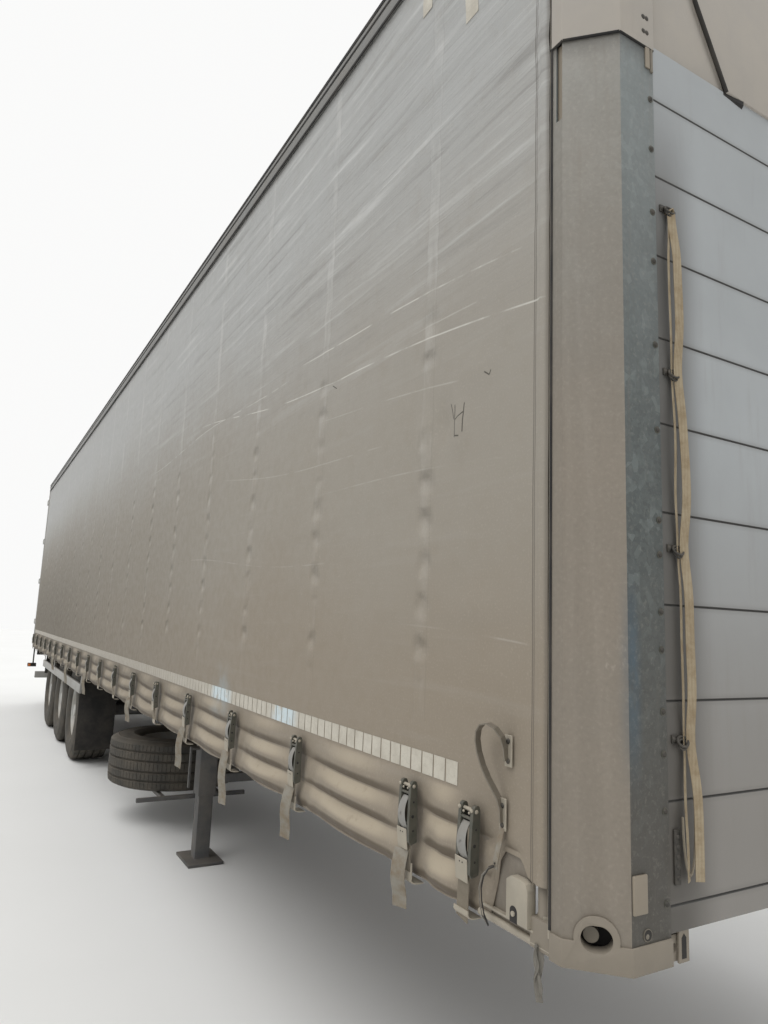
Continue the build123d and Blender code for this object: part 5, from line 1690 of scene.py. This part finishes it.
class TRAILER_OT_stage(Making, bpy.types.Operator):
    """Set the pale floor, the soft sky and the camera beside the front corner"""
    bl_idname = "trailer.stage"
    bl_label = "Stage"

    def make(self, scene):
        settings = scene.trailer_stage
        scene.view_settings.view_transform = "Standard"
        self.floor(scene, settings)
        self.sky(scene, settings)
        self.key(scene, settings)
        self.camera(scene, settings)

    def floor(self, scene, settings):
        """A plain pale floor, faintly clouded."""
        f = Finish("pale_floor")
        f.colour = settings.floor
        f.lay(f.noise(0.6, 4.0, 0.5).step(0.3, 0.8) * 0.25, (214, 213, 209))
        shape = Shape()
        bmesh.ops.create_grid(shape.bm, x_segments=8, y_segments=8, size=60)
        made = shape.mesh("floor_plane", facing=False)
        made.materials.append(f.done(0.8))
        plane = bpy.data.objects.new("stage_floor", made)
        scene.collection.objects.link(plane)

    def sky(self, scene, settings):
        """A soft overcast sky for the light, and plain white where the camera, gloss or glass sees it."""
        f = Finish("overcast", "Generated")
        scene.world = f.owner
        heights = {"Value": f.z, "To Min": settings.horizon, "To Max": settings.zenith}
        strength = f.node("ShaderNodeMapRange", None, heights).outputs[0]
        overcast = {"Color": (0.97, 0.985, 1.0, 1), "Strength": strength}
        light = f.node("ShaderNodeBackground", None, overcast)
        white = f.node("ShaderNodeBackground", None, {"Color": (0.96, 0.96, 0.955, 1)})
        rays = f.node("ShaderNodeLightPath").outputs
        camera, glass, gloss = [
            Field(f, rays[f"Is {kind} Ray"]) for kind in ("Camera", "Transmission", "Glossy")
        ]
        seen = camera.most(glass).most(gloss)
        blend = f.node("ShaderNodeMixShader", None, {0: seen, 1: light.outputs[0], 2: white.outputs[0]})
        f.node("ShaderNodeOutputWorld", None, {0: blend.outputs[0]})

    def key(self, scene, settings):
        """A wide soft lamp high beside the right wall."""
        lamp = bpy.data.lights.new("soft_key", "SUN")
        lamp.energy = settings.key
        lamp.angle = math.radians(40)
        obj = bpy.data.objects.new("soft_key", lamp)
        obj.rotation_euler = Vector((0.25, -0.55, 1.0)).to_track_quat("Z", "Y").to_euler()
        scene.collection.objects.link(obj)

    def camera(self, scene, settings):
        """A camera turned by yaw, pitch and roll as the view was taken."""
        yaw, pitch, roll = settings.yaw, settings.pitch, settings.roll
        flat = math.cos(pitch)
        forward = Vector((flat * math.cos(yaw), flat * math.sin(yaw), math.sin(pitch)))
        level = forward.cross(Z_AXIS).normalized()
        above = level.cross(forward)
        right = math.cos(roll) * level + math.sin(roll) * above
        up = math.cos(roll) * above - math.sin(roll) * level
        lens = bpy.data.cameras.new("corner_camera")
        lens.lens = settings.lens
        lens.sensor_width = 36
        lens.clip_start, lens.clip_end = 0.05, 200
        camera = bpy.data.objects.new("corner_camera", lens)
        turn = Matrix((right, up, -forward)).transposed().to_4x4()
        camera.matrix_world = Matrix.Translation(settings.camera) @ turn
        scene.collection.objects.link(camera)
        scene.camera = camera


class TRAILER_PT_panel(bpy.types.Panel):
    """The trailer's pieces and their settings"""
    bl_idname = "TRAILER_PT_panel"
    bl_label = "Semi trailer"
    bl_space_type = "VIEW_3D"
    bl_region_type = "UI"
    bl_category = "Trailer"

    def draw(self, context):
        for operator in OPERATORS:
            self.layout.operator(operator.bl_idname)
        for name, group in SETTINGS.items():
            box = self.layout.box()
            for key in group.__annotations__:
                box.prop(getattr(context.scene, name), key)


SETTINGS = {
    "trailer_curtain": CurtainSettings,
    "trailer_tape": TapeSettings,
    "trailer_fittings": FittingSettings,
    "trailer_body": BodySettings,
    "trailer_wheels": WheelSettings,
    "trailer_stage": StageSettings,
}
OPERATORS = (
    TRAILER_OT_stage,
    TRAILER_OT_curtains,
    TRAILER_OT_tape,
    TRAILER_OT_buckles,
    TRAILER_OT_handles,
    TRAILER_OT_front,
    TRAILER_OT_roof,
    TRAILER_OT_wheels,
    TRAILER_OT_chassis,
    TRAILER_OT_rear,
)


def register():
    for group in SETTINGS.values():
        bpy.utils.register_class(group)
    for name, group in SETTINGS.items():
        setattr(bpy.types.Scene, name, bpy.props.PointerProperty(type=group))
    for made in (*OPERATORS, TRAILER_PT_panel):
        bpy.utils.register_class(made)


def unregister():
    for made in (TRAILER_PT_panel, *OPERATORS[::-1]):
        bpy.utils.unregister_class(made)
    for name, group in SETTINGS.items():
        delattr(bpy.types.Scene, name)
        bpy.utils.unregister_class(group)


def main():
    """Make every piece in order."""
    register()
    make_finishes(bpy.context.scene)
    for operator in OPERATORS:
        getattr(bpy.ops.trailer, operator.bl_idname.split(".")[1])()


if __name__ == "__main__":
    main()
